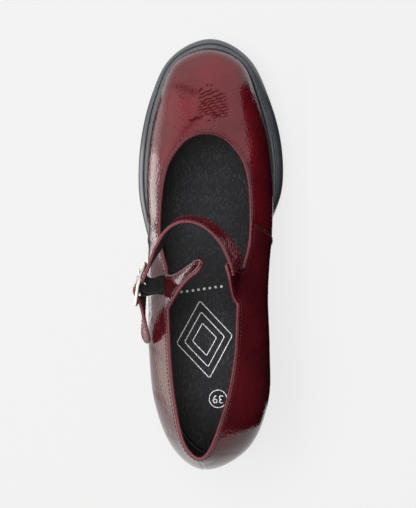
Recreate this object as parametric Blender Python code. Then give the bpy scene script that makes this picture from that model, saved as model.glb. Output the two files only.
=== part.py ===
# A heeled mary jane shoe for the left foot, size 39, in patent leather on a black platform sole.
# Metres, +Z up, +Y towards the toe, +X towards the inner (medial) side. The origin is on the floor.

import math

import bmesh
import bpy
import numpy as np

# Driving sizes of the whole shoe
LENGTH = 0.2682
BALL_WIDTH = 0.0776
PLATFORM = 0.022
HEEL_HEIGHT = 0.052
TOE_RISE = 0.009
TOE_SPRING = 0.007
GAP = 0.0003

# Upper
WALL = 0.0021
COLLAR_HEIGHT = 0.058
WALL_SWELL = 0.013
TAB_WIDTH = 0.0140
TAB_SWEEP_SHARE = 0.75

# Sole, heel and insole
WELT_REACH = 0.0085
WELT_STEP = 0.0012
BAND_DROP = 0.0016
WAIST_THICKNESS = 0.0065
SIDE_GROOVE = 0.0012
TREAD_DEPTH = 0.0022
TREAD_WIDTH = 0.0026
TREAD_PITCH = 0.0098
TREAD_COUNT = 7
HEEL_BLOCK_LENGTH = 0.064
HEEL_INSET = 0.0012
HEEL_TAPER_SHARE = 0.09
TOP_PIECE = 0.006
INSOLE_THICKNESS = 0.003
INSOLE_PLAY = 0.0005

# Strap, buckle and elastic
STRAP_WIDTH = 0.0136
STRAP_THICKNESS = 0.0018
STRAP_LEAN = 0.0296
STRAP_RISE = 0.0110
STRAP_OVERLAP = 0.0055
TAIL_LENGTH = 0.0286
HOLE_RADIUS = 0.0011
HOLE_PITCH = 0.0085
HOLE_COUNT = 2
BUCKLE_LENGTH = 0.0235
BUCKLE_WIRE = 0.0022
BUCKLE_PLAY = 0.0009
BUCKLE_CORNER = 0.0032
BAR_RADIUS = 0.0009
PRONG_RADIUS = 0.0006
BAR_DROP = 0.0014
THREAD_PLAY = 0.0002
ELASTIC_WIDTH = 0.0130
ELASTIC_THICKNESS = 0.0011
ELASTIC_SEAT_SHARE = 0.94
ELASTIC_SPAN_SHARES = (0.16, 0.66)

# Mesh density: points between two rows of the upper's table, segments up its wall and its tabs, and
# stations along the strap
STEPS = 5
WALL_SEGMENTS = 9
TAB_SEGMENTS = 6
STRAP_STATIONS = 56

# The upper, one row for each section round the shoe: foot is where it meets the sole, collar its top
# edge. x is a share of BALL_WIDTH, y of LENGTH and rise of COLLAR_HEIGHT above the last's bottom.
# swell is a share of WALL_SWELL. inward and lift place the profile's upper control, and first its
# lower one, as shares of the way to the collar. reach is a share of WELT_REACH.
UPPER_COLUMNS = ("foot_x", "foot_y", "collar_x", "collar_y", "rise", "swell", "first", "inward", "lift", "reach")
LATERAL_ROWS = (
    ("heel_back", 0.008, -0.4810, -0.026, -0.4580, 1.00, 1.00, 0.27, 0.10, 0.72, 0.16),
    ("heel_corner", -0.204, -0.4380, -0.147, -0.4230, 0.98, 1.02, 0.27, 0.06, 0.72, 0.16),
    ("heel_side", -0.330, -0.3460, -0.221, -0.3370, 0.875, 1.11, 0.28, 0.04, 0.72, 0.16),
    ("counter_end", -0.374, -0.2310, -0.266, -0.2390, 0.765, 1.18, 0.30, 0.02, 0.72, 0.18),
    ("tab_rear", -0.374, -0.1380, -0.292, -0.1380, 0.735, 1.34, 0.30, 0.00, 0.70, 0.24),
    ("tab_middle", -0.380, -0.0800, -0.305, -0.0960, 0.670, 1.40, 0.30, 0.00, 0.70, 0.34),
    ("notch", -0.396, -0.0250, -0.318, -0.0560, 0.630, 1.31, 0.30, 0.02, 0.70, 0.52),
    ("waist", -0.450, 0.0500, -0.382, 0.0200, 0.635, 0.60, 0.32, 0.10, 0.72, 0.82),
    ("ball_side", -0.497, 0.1450, -0.372, 0.1180, 0.650, 0.34, 0.36, 0.22, 0.76, 0.99),
    ("vamp_side", -0.482, 0.2500, -0.318, 0.1880, 0.672, 0.26, 0.42, 0.28, 0.80, 1.00),
    ("vamp_front", -0.408, 0.3520, -0.205, 0.2350, 0.676, 0.24, 0.50, 0.34, 0.82, 0.92),
    ("toe_corner", -0.276, 0.4370, -0.100, 0.2550, 0.638, 0.22, 0.58, 0.36, 0.80, 0.78),
)
MEDIAL_ROWS = (
    ("toe_tip", 0.000, 0.4685, -0.006, 0.2595, 0.626, 0.22, 0.62, 0.37, 0.79, 0.99),
    ("toe_corner", 0.262, 0.4370, 0.092, 0.2550, 0.638, 0.22, 0.58, 0.36, 0.80, 0.75),
    ("vamp_front", 0.388, 0.3520, 0.200, 0.2350, 0.676, 0.24, 0.50, 0.34, 0.82, 0.93),
    ("vamp_side", 0.476, 0.2500, 0.308, 0.1880, 0.672, 0.26, 0.42, 0.28, 0.80, 1.00),
    ("ball_side", 0.503, 0.1450, 0.350, 0.1180, 0.650, 0.36, 0.36, 0.22, 0.76, 0.82),
    ("waist", 0.474, 0.0500, 0.351, 0.0200, 0.635, 0.66, 0.32, 0.10, 0.72, 0.10),
    ("notch", 0.432, -0.0250, 0.302, -0.0460, 0.630, 0.96, 0.30, 0.04, 0.70, 0.10),
    ("tab_middle", 0.414, -0.0800, 0.282, -0.0850, 0.670, 1.04, 0.30, 0.00, 0.70, 0.14),
    ("tab_rear", 0.412, -0.1380, 0.266, -0.1260, 0.735, 1.06, 0.30, 0.00, 0.70, 0.16),
    ("counter_end", 0.428, -0.2310, 0.248, -0.2390, 0.765, 1.04, 0.30, 0.02, 0.72, 0.18),
    ("heel_side", 0.424, -0.3430, 0.186, -0.3370, 0.875, 1.02, 0.28, 0.04, 0.72, 0.16),
    ("heel_corner", 0.290, -0.4380, 0.074, -0.4330, 0.98, 1.02, 0.27, 0.06, 0.72, 0.16),
)

# The last's bottom along the shoe: pitch is a share of the rise from platform to heel, toe of TOE_RISE
LAST_BOTTOM = (
    # y, pitch, toe
    (-0.52, 1.03, 0.0),
    (-0.42, 1.00, 0.0),
    (-0.31, 0.965, 0.0),
    (-0.21, 0.85, 0.0),
    (-0.11, 0.60, 0.0),
    (-0.01, 0.31, 0.0),
    (0.09, 0.10, 0.0),
    (0.18, 0.0, 0.0),
    (0.27, 0.0, 0.08),
    (0.36, 0.0, 0.34),
    (0.44, 0.0, 0.72),
    (0.52, 0.0, 1.10),
)
# The sole's underside: arch is a share of the way up to the waist's thickness, spring of TOE_SPRING
SOLE_BOTTOM = (
    # y, arch, spring
    (-0.52, 1.0, 0.0),
    (-0.17, 1.0, 0.0),
    (-0.12, 0.93, 0.0),
    (-0.07, 0.66, 0.0),
    (-0.02, 0.27, 0.0),
    (0.02, 0.06, 0.0),
    (0.05, 0.0, 0.0),
    (0.285, 0.0, 0.0),
    (0.34, 0.0, 0.10),
    (0.42, 0.0, 0.48),
    (0.52, 0.0, 1.15),
)
# The sole's side from the upper outwards and down: out is a share of its reach, drop a share of its
# thickness, and step and cut are multiples of the named steps
SOLE_SIDE = (
    # out, drop, step, cut
    (0.06, 0.0, 0.0, 0.0),
    (0.16, 0.0, 1.0, 0.0),
    (0.38, 0.0, 1.0, 0.0),
    (0.43, 0.0, -0.6, 0.0),
    (0.50, 0.0, -0.6, 0.0),
    (0.55, 0.0, 0.20, 0.0),
    (0.62, 0.0, 0.35, 0.0),
    (0.74, 0.03, 0.35, 0.0),
    (0.84, 0.075, 0.2, 0.0),
    (0.92, 0.12, 0.0, 0.0),
    (0.98, 0.18, 0.0, 0.0),
    (1.00, 0.25, 0.0, 0.0),
    (1.00, 0.48, 0.0, 0.0),
    (1.00, 0.51, 0.0, 1.0),
    (1.00, 0.56, 0.0, 1.0),
    (1.00, 0.60, 0.0, 0.0),
    (1.00, 0.95, 0.0, 0.1),
    (1.00, 1.00, 0.0, 1.0),
)
# The end of each strap tab: x is a share of BALL_WIDTH, y of LENGTH, rise of COLLAR_HEIGHT above the
# platform. heading turns from the toe towards +X, climb is its slope and roll its lean, in degrees.
# round is the share of the end that is rounded off.
TAB_ENDS = {
    # x, y, rise, heading, climb, roll, round
    "lateral": (-0.0116, -0.0313, 1.300, 59.0, 26.0, 25.0, 0.85),
    "medial": (0.2200, -0.0254, 1.310, -20.0, 24.0, 32.0, 0.10),
}
# The strap from the inner tab to the buckle: along is the share of the way between them, lean is a
# share of STRAP_LEAN, rise of STRAP_RISE, and roll is the strap's lean from upright in degrees
STRAP_ROUTE = (
    # along, lean, rise, roll
    (0.112, 0.446, 0.42, 27.0),
    (0.286, 0.828, 0.84, 20.0),
    (0.438, 1.000, 1.00, 14.0),
    (0.582, 1.040, 1.05, 12.0),
    (0.700, 0.910, 1.05, 0.0),
    (0.785, 0.640, 0.94, -10.0),
)
# The buckle's middle as shares of BALL_WIDTH, LENGTH and COLLAR_HEIGHT above the platform, then its
# heading and slope in degrees
BUCKLE_PLACE = (-0.4880, -0.0820, 1.135, -167.0, -40.0)
# The tail beyond the buckle: its heading, slope and lean at its end, in degrees
TAIL_WAY = (177.0, -18.0, 32.0)

ROWS = LATERAL_ROWS + MEDIAL_ROWS
STATIONS = len(ROWS) * STEPS
HEEL_RISE = HEEL_HEIGHT - PLATFORM


# Numbers and curves

def spline(before, start, end, after, part):
    """The Catmull-Rom curve between start and end."""
    slope_in = (end - before) / 2
    slope_out = (after - start) / 2
    square = part * part
    cube = square * part
    return (
        (2 * cube - 3 * square + 1) * start
        + (cube - 2 * square + part) * slope_in
        + (3 * square - 2 * cube) * end
        + (cube - square) * slope_out
    )


def along_table(table, place, column):
    """A column of an open table at a place given in its first column, as a smooth curve."""
    places = [row[0] for row in table]
    index = min(max(int(np.searchsorted(places, place)) - 1, 0), len(table) - 2)
    part = (place - places[index]) / (places[index + 1] - places[index])
    part = min(max(part, 0.0), 1.0)
    value = [row[column] for row in table]
    slope = [
        (value[min(i + 1, len(value) - 1)] - value[max(i - 1, 0)])
        / (places[min(i + 1, len(value) - 1)] - places[max(i - 1, 0)])
        for i in (index, index + 1)
    ]
    width = places[index + 1] - places[index]
    square = part * part
    cube = square * part
    return (
        (2 * cube - 3 * square + 1) * value[index]
        + (cube - 2 * square + part) * slope[0] * width
        + (3 * square - 2 * cube) * value[index + 1]
        + (cube - square) * slope[1] * width
    )


def round_table(place, column):
    """A named column of the upper's table at a station, which may lie between two, as a closed curve."""
    index = math.floor(place / STEPS)
    part = place / STEPS - index
    count = len(ROWS)
    number = 1 + UPPER_COLUMNS.index(column)
    value = [ROWS[(index + step) % count][number] for step in (-1, 0, 1, 2)]
    return spline(*value, part)


def bezier(points, part):
    """The point of a cubic Bezier curve."""
    rest = 1 - part
    shares = (rest**3, 3 * rest * rest * part, 3 * rest * part * part, part**3)
    return sum(share * point for share, point in zip(shares, points))


def unit(vector):
    """The vector at length 1."""
    return vector / np.linalg.norm(vector)


def across(direction, roll):
    """The width direction of a band that runs along direction, leaning roll degrees to the left."""
    upward = unit(np.array((0, 0, 1.0)) - direction[2] * direction)
    right = np.cross(direction, upward)
    return math.cos(math.radians(roll)) * upward - math.sin(math.radians(roll)) * right


def heading_vector(heading, climb):
    """A unit direction from a heading, turned from +Y towards +X, and a climb, both in degrees."""
    flat = math.cos(math.radians(climb))
    return np.array((
        math.sin(math.radians(heading)) * flat,
        math.cos(math.radians(heading)) * flat,
        math.sin(math.radians(climb)),
    ))


# Heights of the last and the sole

def last_height(y):
    """The height of the last's bottom at a place along the shoe."""
    share = y / LENGTH
    pitch = along_table(LAST_BOTTOM, share, 1)
    toe = along_table(LAST_BOTTOM, share, 2)
    return PLATFORM + pitch * HEEL_RISE + toe * TOE_RISE


def ground_height(y):
    """The height of the sole's underside, without its tread."""
    share = y / LENGTH
    arch = along_table(SOLE_BOTTOM, share, 1)
    spring = along_table(SOLE_BOTTOM, share, 2)
    return max(arch * (last_height(y) - WAIST_THICKNESS) + spring * TOE_SPRING, 0.0)


# Objects and meshes

def clear_scene():
    """Remove what the startup file holds."""
    for obj in list(bpy.data.objects):
        bpy.data.objects.remove(obj)


def make_material(name, colour, roughness, metallic=0.0):
    """A Principled material."""
    material = bpy.data.materials.new(name)
    material.use_nodes = True
    shader = material.node_tree.nodes["Principled BSDF"]
    shader.inputs["Base Color"].default_value = (*colour, 1.0)
    shader.inputs["Roughness"].default_value = roughness
    shader.inputs["Metallic"].default_value = metallic
    return material


def make_object(name, points, faces, material):
    """A mesh object with its faces turned outward."""
    mesh = bpy.data.meshes.new(name)
    mesh.from_pydata([tuple(point) for point in points], [], faces)
    shape = bmesh.new()
    shape.from_mesh(mesh)
    bmesh.ops.recalc_face_normals(shape, faces=shape.faces)
    shape.to_mesh(mesh)
    shape.free()
    mesh.materials.append(material)
    obj = bpy.data.objects.new(name, mesh)
    bpy.context.scene.collection.objects.link(obj)
    return obj


def hide(helper):
    """Mark an object as a cutter, which is no part of the shoe."""
    helper.hide_render = True
    helper.display_type = "WIRE"
    return helper


def make_helper(name, points, faces):
    """A cutter: it shapes other objects and isn't a part itself."""
    return hide(make_object(name, points, faces, bpy.data.materials["rubber"]))


def combine(obj, other, operation):
    """An exact Boolean of obj with another object."""
    modifier = obj.modifiers.new(operation.lower(), "BOOLEAN")
    modifier.operation = operation
    modifier.object = other


def band_faces(first, second, closed):
    """The faces between two rows of point numbers."""
    count = len(first)
    ends = count if closed else count - 1
    return [
        (first[i], first[(i + 1) % count], second[(i + 1) % count], second[i])
        for i in range(ends)
    ]


def ladder_faces(ring):
    """The faces across a closed ring whose first point is one end and whose middle point is the other."""
    count = len(ring)
    faces = []
    for step in range(count // 2):
        face = (ring[step], ring[step + 1], ring[count - step - 1], ring[(count - step) % count])
        faces.append(tuple(dict.fromkeys(face)))
    return faces


def loft(name, rings, material):
    """A closed solid through rings of equal count, capped with ladders at both ends."""
    points = [point for ring in rings for point in ring]
    count = len(rings[0])
    numbers = [list(range(step * count, (step + 1) * count)) for step in range(len(rings))]
    faces = ladder_faces(numbers[0]) + ladder_faces(numbers[-1])
    for first, second in zip(numbers, numbers[1:]):
        faces += band_faces(first, second, True)
    return make_object(name, points, faces, material)


def tube(name, rings, material, closed=False):
    """A bar through rings of equal count, with flat ends or closed on itself."""
    count = len(rings[0])
    points = [point for ring in rings for point in ring]
    numbers = [list(range(count * step, count * step + count)) for step in range(len(rings))]
    faces = [] if closed else [tuple(numbers[0]), tuple(numbers[-1])]
    for first, second in zip(numbers, numbers[1:] + (numbers[:1] if closed else [])):
        faces += band_faces(first, second, True)
    return make_object(name, points, faces, material)


def box_ring(centre, side, up, half_side, half_up):
    """The four corners of a bar's rectangular section."""
    corners = ((-1, -1), (1, -1), (1, 1), (-1, 1))
    return [centre + a * half_side * side + b * half_up * up for a, b in corners]


def rod(name, centres, radius, sides, material):
    """A round rod along centres, with flat ends."""
    rings = []
    reference = np.array((0.31, 0.17, 0.93))
    for step, centre in enumerate(centres):
        ahead = centres[min(step + 1, len(centres) - 1)]
        behind = centres[max(step - 1, 0)]
        forward = unit(ahead - behind)
        first = unit(reference - reference.dot(forward) * forward)
        second = np.cross(forward, first)
        reference = first
        angles = [2 * math.pi * side / sides for side in range(sides)]
        rings.append([
            centre + radius * (math.cos(angle) * first + math.sin(angle) * second)
            for angle in angles
        ])
    return tube(name, rings, material)


# The upper

def foot_point(place):
    """Where the upper's outer face meets the sole, at a station."""
    x = round_table(place, "foot_x") * BALL_WIDTH
    y = round_table(place, "foot_y") * LENGTH
    return np.array((x, y, last_height(y) + GAP))


def foot_outward(place):
    """The flat direction that points out of the foot line, at a station."""
    ahead = foot_point(place + 0.5) - foot_point(place - 0.5)
    return unit(np.array((-ahead[1], ahead[0], 0.0)))


def wall_controls(place):
    """The four control points of the wall's profile at a station."""
    foot = foot_point(place)
    rise = round_table(place, "rise") * COLLAR_HEIGHT
    collar = np.array((
        round_table(place, "collar_x") * BALL_WIDTH,
        round_table(place, "collar_y") * LENGTH,
        foot[2] + rise,
    ))
    lower = foot + foot_outward(place) * round_table(place, "swell") * WALL_SWELL
    lower[2] += round_table(place, "first") * rise
    upper = foot + (collar - foot) * round_table(place, "inward")
    upper[2] = foot[2] + round_table(place, "lift") * rise
    return foot, lower, upper, collar


def wall_point(place, part):
    """A point of the upper's outer face: part runs from 0 at the sole to 1 at the collar."""
    return bezier(wall_controls(place), part)


def wall_normal(place, part):
    """The outward direction of the upper's outer face."""
    around = wall_point(place + 0.25, part) - wall_point(place - 0.25, part)
    low, high = max(part - 0.02, 0.0), min(part + 0.02, 1.0)
    upward = wall_point(place, high) - wall_point(place, low)
    return unit(np.cross(upward, around))


def tab_stations(side):
    """The first and last station under a tab, the front one first."""
    names = [row[0] for row in (LATERAL_ROWS if side == "lateral" else MEDIAL_ROWS)]
    base = 0 if side == "lateral" else len(LATERAL_ROWS)
    front = (base + names.index("notch")) * STEPS
    rear = (base + names.index("tab_rear")) * STEPS
    return front, rear


def tab_end(side, share):
    """A point on a tab's end, share 0 at its front corner and 1 at its rear one, and its direction."""
    x, y, rise, heading, climb, roll, rounding = TAB_ENDS[side]
    middle = np.array((x * BALL_WIDTH, y * LENGTH, PLATFORM + rise * COLLAR_HEIGHT))
    direction = heading_vector(heading, climb)
    # The arch's inside lies to the left of the medial tab's direction and to the right of the other's
    width = across(direction, roll if side == "medial" else -roll)
    offset = 2 * share - 1
    back = rounding * TAB_WIDTH / 2 * (1 - math.sqrt(max(1 - (0.96 * offset) ** 2, 0.0)))
    return middle + width * offset * TAB_WIDTH / 2 - direction * back, direction


def tab_point(side, place, part):
    """A point of a tab's outer face: part runs from 0 at the collar to 1 at its end."""
    front, rear = tab_stations(side)
    share = (place - front) / (rear - front)
    foot, lower, upper, collar = wall_controls(place)
    end, direction = tab_end(side, share)
    reach = np.linalg.norm(end - collar)
    ahead = wall_controls(place + (front > rear) - (front < rear))[3] - collar
    start = unit(unit(collar - upper) + TAB_SWEEP_SHARE * share**2 * unit(ahead))
    return bezier((collar, collar + start * reach * 0.30, end - direction * reach * 0.40, end), part)


def tab_normal(side, place, part):
    """The outward direction of a tab's outer face."""
    front, rear = tab_stations(side)
    low_place, high_place = max(place - 0.3, min(front, rear)), min(place + 0.3, max(front, rear))
    low, high = max(part - 0.03, 0.0), min(part + 0.03, 1.0)
    around = tab_point(side, high_place, part) - tab_point(side, low_place, part)
    upward = tab_point(side, place, high) - tab_point(side, place, low)
    return unit(np.cross(upward, around))


def make_upper(material):
    """The hollow upper with its two strap tabs, open at the collar and underneath."""
    outer, inner = [], []
    number = {}

    def add(key, point, normal, flat=False):
        number[key] = len(outer)
        outer.append(point)
        lining = point - normal * WALL
        if flat:
            level = unit(np.array((normal[0], normal[1], 0.0)))
            lining = point - level * WALL
            lining[2] = last_height(lining[1]) + GAP
        inner.append(lining)

    for station in range(STATIONS):
        for row in range(WALL_SEGMENTS + 1):
            part = row / WALL_SEGMENTS
            add((station, row), wall_point(station, part), wall_normal(station, part), row == 0)
    columns = {}
    for side in ("lateral", "medial"):
        front, rear = tab_stations(side)
        columns[side] = list(range(min(front, rear), max(front, rear) + 1))
        for station in columns[side]:
            for row in range(1, TAB_SEGMENTS + 1):
                part = row / TAB_SEGMENTS
                point, normal = tab_point(side, station, part), tab_normal(side, station, part)
                add((station, WALL_SEGMENTS + row), point, normal)

    faces = []
    count = len(outer)

    def face_pair(keys):
        faces.append(tuple(number[key] for key in keys))
        faces.append(tuple(number[key] + count for key in reversed(keys)))

    def edge_face(first, second):
        faces.append((number[first], number[second], number[second] + count, number[first] + count))

    for station in range(STATIONS):
        beside = (station + 1) % STATIONS
        for row in range(WALL_SEGMENTS):
            face_pair(((station, row), (beside, row), (beside, row + 1), (station, row + 1)))
        edge_face((station, 0), (beside, 0))
        if not any(station in column[:-1] for column in columns.values()):
            edge_face((station, WALL_SEGMENTS), (beside, WALL_SEGMENTS))
    top = WALL_SEGMENTS + TAB_SEGMENTS
    for column in columns.values():
        for station in column[:-1]:
            for row in range(WALL_SEGMENTS, top):
                face_pair(((station, row), (station + 1, row), (station + 1, row + 1), (station, row + 1)))
            edge_face((station, top), (station + 1, top))
        for station in (column[0], column[-1]):
            for row in range(WALL_SEGMENTS, top):
                edge_face((station, row), (station, row + 1))
    return make_object("upper", outer + inner, faces, material)


# The insole, sole and heel

def insole_ring(inset, lift):
    """A ring of the insole: the foot line's inside, inset and lifted above the last's bottom."""
    ring = []
    for station in range(STATIONS):
        point = foot_point(station) - foot_outward(station) * (WALL + inset)
        point[2] = last_height(point[1]) + GAP + lift
        ring.append(point)
    return ring


def make_insole(material):
    """The insole, a padded sheet that fills the floor of the upper."""
    rings = [
        insole_ring(INSOLE_PLAY, 0.0),
        insole_ring(INSOLE_PLAY, INSOLE_THICKNESS * 0.6),
        insole_ring(INSOLE_PLAY + INSOLE_THICKNESS * 0.4, INSOLE_THICKNESS),
    ]
    return loft("insole", rings, material)


def sole_point(station, out, drop, step, cut):
    """A point on the sole's side, from the foot line outwards and down."""
    foot = foot_point(station)
    reach = round_table(station, "reach")
    raised = max(reach - 0.5, 0.0) * 2
    point = foot + foot_outward(station) * (out * reach * WELT_REACH - cut * raised * SIDE_GROOVE)
    top = last_height(point[1])
    bottom = ground_height(point[1])
    height = WELT_STEP if step > 0 else BAND_DROP
    point[2] = top - drop * (top - bottom) + step * raised * height
    return point


def make_outsole(material):
    """The platform sole with its welt, side steps, waist and heel seat."""
    rings = [
        [sole_point(station, *row) for station in range(STATIONS)]
        for row in SOLE_SIDE
    ]
    sole = loft("outsole", rings, material)
    first = -0.5 * (TREAD_COUNT - 1) * TREAD_PITCH
    middle = 0.168 * LENGTH
    for groove in range(TREAD_COUNT):
        y = middle + first + groove * TREAD_PITCH
        combine(sole, make_box(
            f"tread_cutter_{groove}",
            (-BALL_WIDTH, y - TREAD_WIDTH / 2, -TREAD_DEPTH),
            (BALL_WIDTH, y + TREAD_WIDTH / 2, TREAD_DEPTH),
        ), "DIFFERENCE")
    return sole


def make_box(name, low, high):
    """A box-shaped cutter between two corners."""
    points = [(x, y, z) for x in (low[0], high[0]) for y in (low[1], high[1]) for z in (low[2], high[2])]
    faces = [(0, 1, 3, 2), (4, 6, 7, 5), (0, 4, 5, 1), (2, 3, 7, 6), (0, 2, 6, 4), (1, 5, 7, 3)]
    return make_helper(name, points, faces)


def heel_outline():
    """The heel's outline at its top: the rear stations of the sole, closed by a hollow breast."""
    rear = []
    limit = -LENGTH / 2 + HEEL_BLOCK_LENGTH
    for station in range(-STATIONS // 2, STATIONS // 2):
        point = foot_point(station)
        reach = round_table(station, "reach") * WELT_REACH - HEEL_INSET
        point = point + foot_outward(station) * reach
        if point[1] < limit:
            rear.append(point[:2])
    medial, lateral = rear[0], rear[-1]
    breast = []
    for step in range(1, 8):
        share = step / 8
        point = lateral + (medial - lateral) * share
        breast.append(point - np.array((0.0, 0.045 * LENGTH * share * (1 - share))))
    return rear + breast


def heel_solid(name, low, high, material):
    """A slice of the tapered heel between two heights."""
    outline = heel_outline()
    middle = sum(outline) / len(outline)
    rings = []
    for level in range(5):
        z = low + (high - low) * level / 4
        down = 1 - z / HEEL_HEIGHT
        size = 1 - HEEL_TAPER_SHARE * math.sin(down * math.pi / 2)
        rings.append([(*(middle + (point - middle) * size), z) for point in outline])
    return tube(name, rings, material)


def make_underside_cutter():
    """The space above the sole's underside, a gap lower, which trims the heel's top."""
    places = [-0.6 * LENGTH + step * 0.02 * LENGTH for step in range(26)]
    profile = [(y, ground_height(max(y, -0.52 * LENGTH)) - GAP) for y in places]
    profile += [(places[-1], 2 * HEEL_HEIGHT), (places[0], 2 * HEEL_HEIGHT)]
    count = len(profile)
    points = [(side * BALL_WIDTH, y, z) for side in (-1, 1) for y, z in profile]
    faces = [tuple(range(count)), tuple(range(count, 2 * count))]
    faces += band_faces(list(range(count)), list(range(count, 2 * count)), True)
    return make_helper("underside_cutter", points, faces)


def make_heel(materials):
    """The heel block, trimmed to the sole's pitch, and the top piece that it stands on."""
    block = heel_solid("heel_block", TOP_PIECE + GAP, HEEL_HEIGHT * 1.05, materials["rubber"])
    combine(block, make_underside_cutter(), "DIFFERENCE")
    heel_solid("heel_top_piece", 0.0, TOP_PIECE, materials["rubber"])


# The strap, buckle and elastic

def buckle_frame():
    """The buckle's middle, and its forward, width and outward directions."""
    x, y, rise, heading, climb = BUCKLE_PLACE
    middle = np.array((x * BALL_WIDTH, y * LENGTH, PLATFORM + rise * COLLAR_HEIGHT))
    forward = heading_vector(heading, climb)
    width = across(forward, 0.0)
    return middle, forward, width, np.cross(forward, width)


def threaded_height(distance):
    """The strap's height over the buckle's plane, at a distance from the centre bar."""
    half = BUCKLE_LENGTH / 2 - BUCKLE_WIRE / 2
    under = -BUCKLE_WIRE / 2 - GAP - STRAP_THICKNESS / 2
    over = BAR_RADIUS + 2 * PRONG_RADIUS + 2 * GAP + STRAP_THICKNESS / 2 - BAR_DROP + THREAD_PLAY
    wave = math.cos(math.pi * min(abs(distance), half) / half)
    return (over + under) / 2 + (over - under) / 2 * wave


def strap_nodes():
    """The strap's centre line as points with their width direction, from the inner tab to the tail."""
    side = "medial"
    front, rear = tab_stations(side)
    station = (front + rear) / 2
    end, direction = tab_end(side, 0.5)
    length = float(np.linalg.norm(end - tab_point(side, station, 0.0)))
    offset = 3 * GAP + STRAP_THICKNESS / 2
    seam = unit(tab_end(side, 1.0)[0] - tab_end(side, 0.0)[0])
    nodes = []
    for back in (1.0, 0.5, 0.0):
        part = 1 - back * STRAP_OVERLAP / length
        point = tab_point(side, station, part) + tab_normal(side, station, part) * offset
        nodes.append((point, seam))
    start = nodes[-1][0]
    middle, forward, width, outward = buckle_frame()
    places = [start]
    for along, lean, rise, tilt in STRAP_ROUTE:
        point = start + (middle - start) * along
        places.append(point + np.array((0.0, lean * STRAP_LEAN, rise * STRAP_RISE)))
    half = BUCKLE_LENGTH / 2 - BUCKLE_WIRE / 2
    distances = (-1.0, -0.75, -0.5, -0.25, 0.0, 0.25, 0.5, 0.75, 1.0)
    threaded = [
        middle + forward * distance * half + outward * threaded_height(distance * half)
        for distance in distances
    ]
    places.append(threaded[0])
    for step, row in enumerate(STRAP_ROUTE):
        ahead = unit(places[step + 2] - places[step])
        nodes.append((places[step + 1], across(ahead, row[3])))
    nodes += [(place, width) for place in threaded]
    heading, climb, roll = TAIL_WAY
    way = heading_vector(heading, climb)
    for share in (0.35, 0.7, 1.0):
        edge = unit(width * (1 - share) + across(way, roll) * share)
        nodes.append((threaded[-1] + way * TAIL_LENGTH * share, edge))
    return nodes


def strap_stations():
    """Even stations along the strap: centre, forward, width and outward direction of each."""
    nodes = strap_nodes()
    places = [node[0] for node in nodes]
    edges = [node[1] for node in nodes]
    distances = [0.0]
    for first, second in zip(places, places[1:]):
        distances.append(distances[-1] + float(np.linalg.norm(second - first)))

    def at(distance):
        index = min(max(int(np.searchsorted(distances, distance)) - 1, 0), len(places) - 2)
        width = distances[index + 1] - distances[index]
        part = min(max((distance - distances[index]) / width, 0.0), 1.0)
        slopes = []
        for i in (index, index + 1):
            low, high = max(i - 1, 0), min(i + 1, len(places) - 1)
            slopes.append((places[high] - places[low]) / (distances[high] - distances[low]))
        square, cube = part * part, part**3
        point = (
            (2 * cube - 3 * square + 1) * places[index]
            + (cube - 2 * square + part) * slopes[0] * width
            + (3 * square - 2 * cube) * places[index + 1]
            + (cube - square) * slopes[1] * width
        )
        return point, edges[index] + (edges[index + 1] - edges[index]) * part

    stations = []
    total = distances[-1]
    nudge = total / 350
    for step in range(STRAP_STATIONS + 1):
        distance = total * step / STRAP_STATIONS
        point, edge = at(distance)
        forward = unit(at(min(distance + nudge, total))[0] - at(max(distance - nudge, 0.0))[0])
        width = unit(edge - forward * edge.dot(forward))
        stations.append((point, forward, width, np.cross(forward, width)))
    return stations


def drill(strap, name, ends):
    """Cut a round hole through the strap between two points."""
    cutter = hide(rod(name, ends, HOLE_RADIUS, 12, strap.data.materials[0]))
    combine(strap, cutter, "DIFFERENCE")


def cut_holes(strap, stations):
    """Cut the tail's spare holes and the hole that the prong passes through."""
    last = stations[-1][0]
    for hole in range(HOLE_COUNT):
        distance = STRAP_WIDTH / 2 + HOLE_PITCH * (hole + 0.35)
        near = [abs(float(np.linalg.norm(item[0] - last)) - distance) for item in stations]
        point, forward, width, outward = stations[near.index(min(near))]
        through = outward * 2 * STRAP_THICKNESS
        drill(strap, f"hole_cutter_{hole}", [point - through, point + through])
    path = prong_path()
    straight = path[-1] - path[-2]
    drill(strap, "prong_cutter", [path[-2] + straight * 0.02, path[-2] + straight * 0.62])


def make_strap(material):
    """The strap, from its seam on the inner tab through the buckle to its rounded tail."""
    stations = strap_stations()
    rings = []
    last = stations[-1][0]
    for point, forward, width, outward in stations:
        left = float(np.linalg.norm(last - point))
        near = max(1 - left / (STRAP_WIDTH / 2), 0.0)
        half = STRAP_WIDTH / 2 * max(math.sqrt(1 - near**2), 0.34)
        rings.append(box_ring(point, width, outward, half, STRAP_THICKNESS / 2))
    strap = tube("strap", rings, material)
    cut_holes(strap, stations)
    return strap


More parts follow.
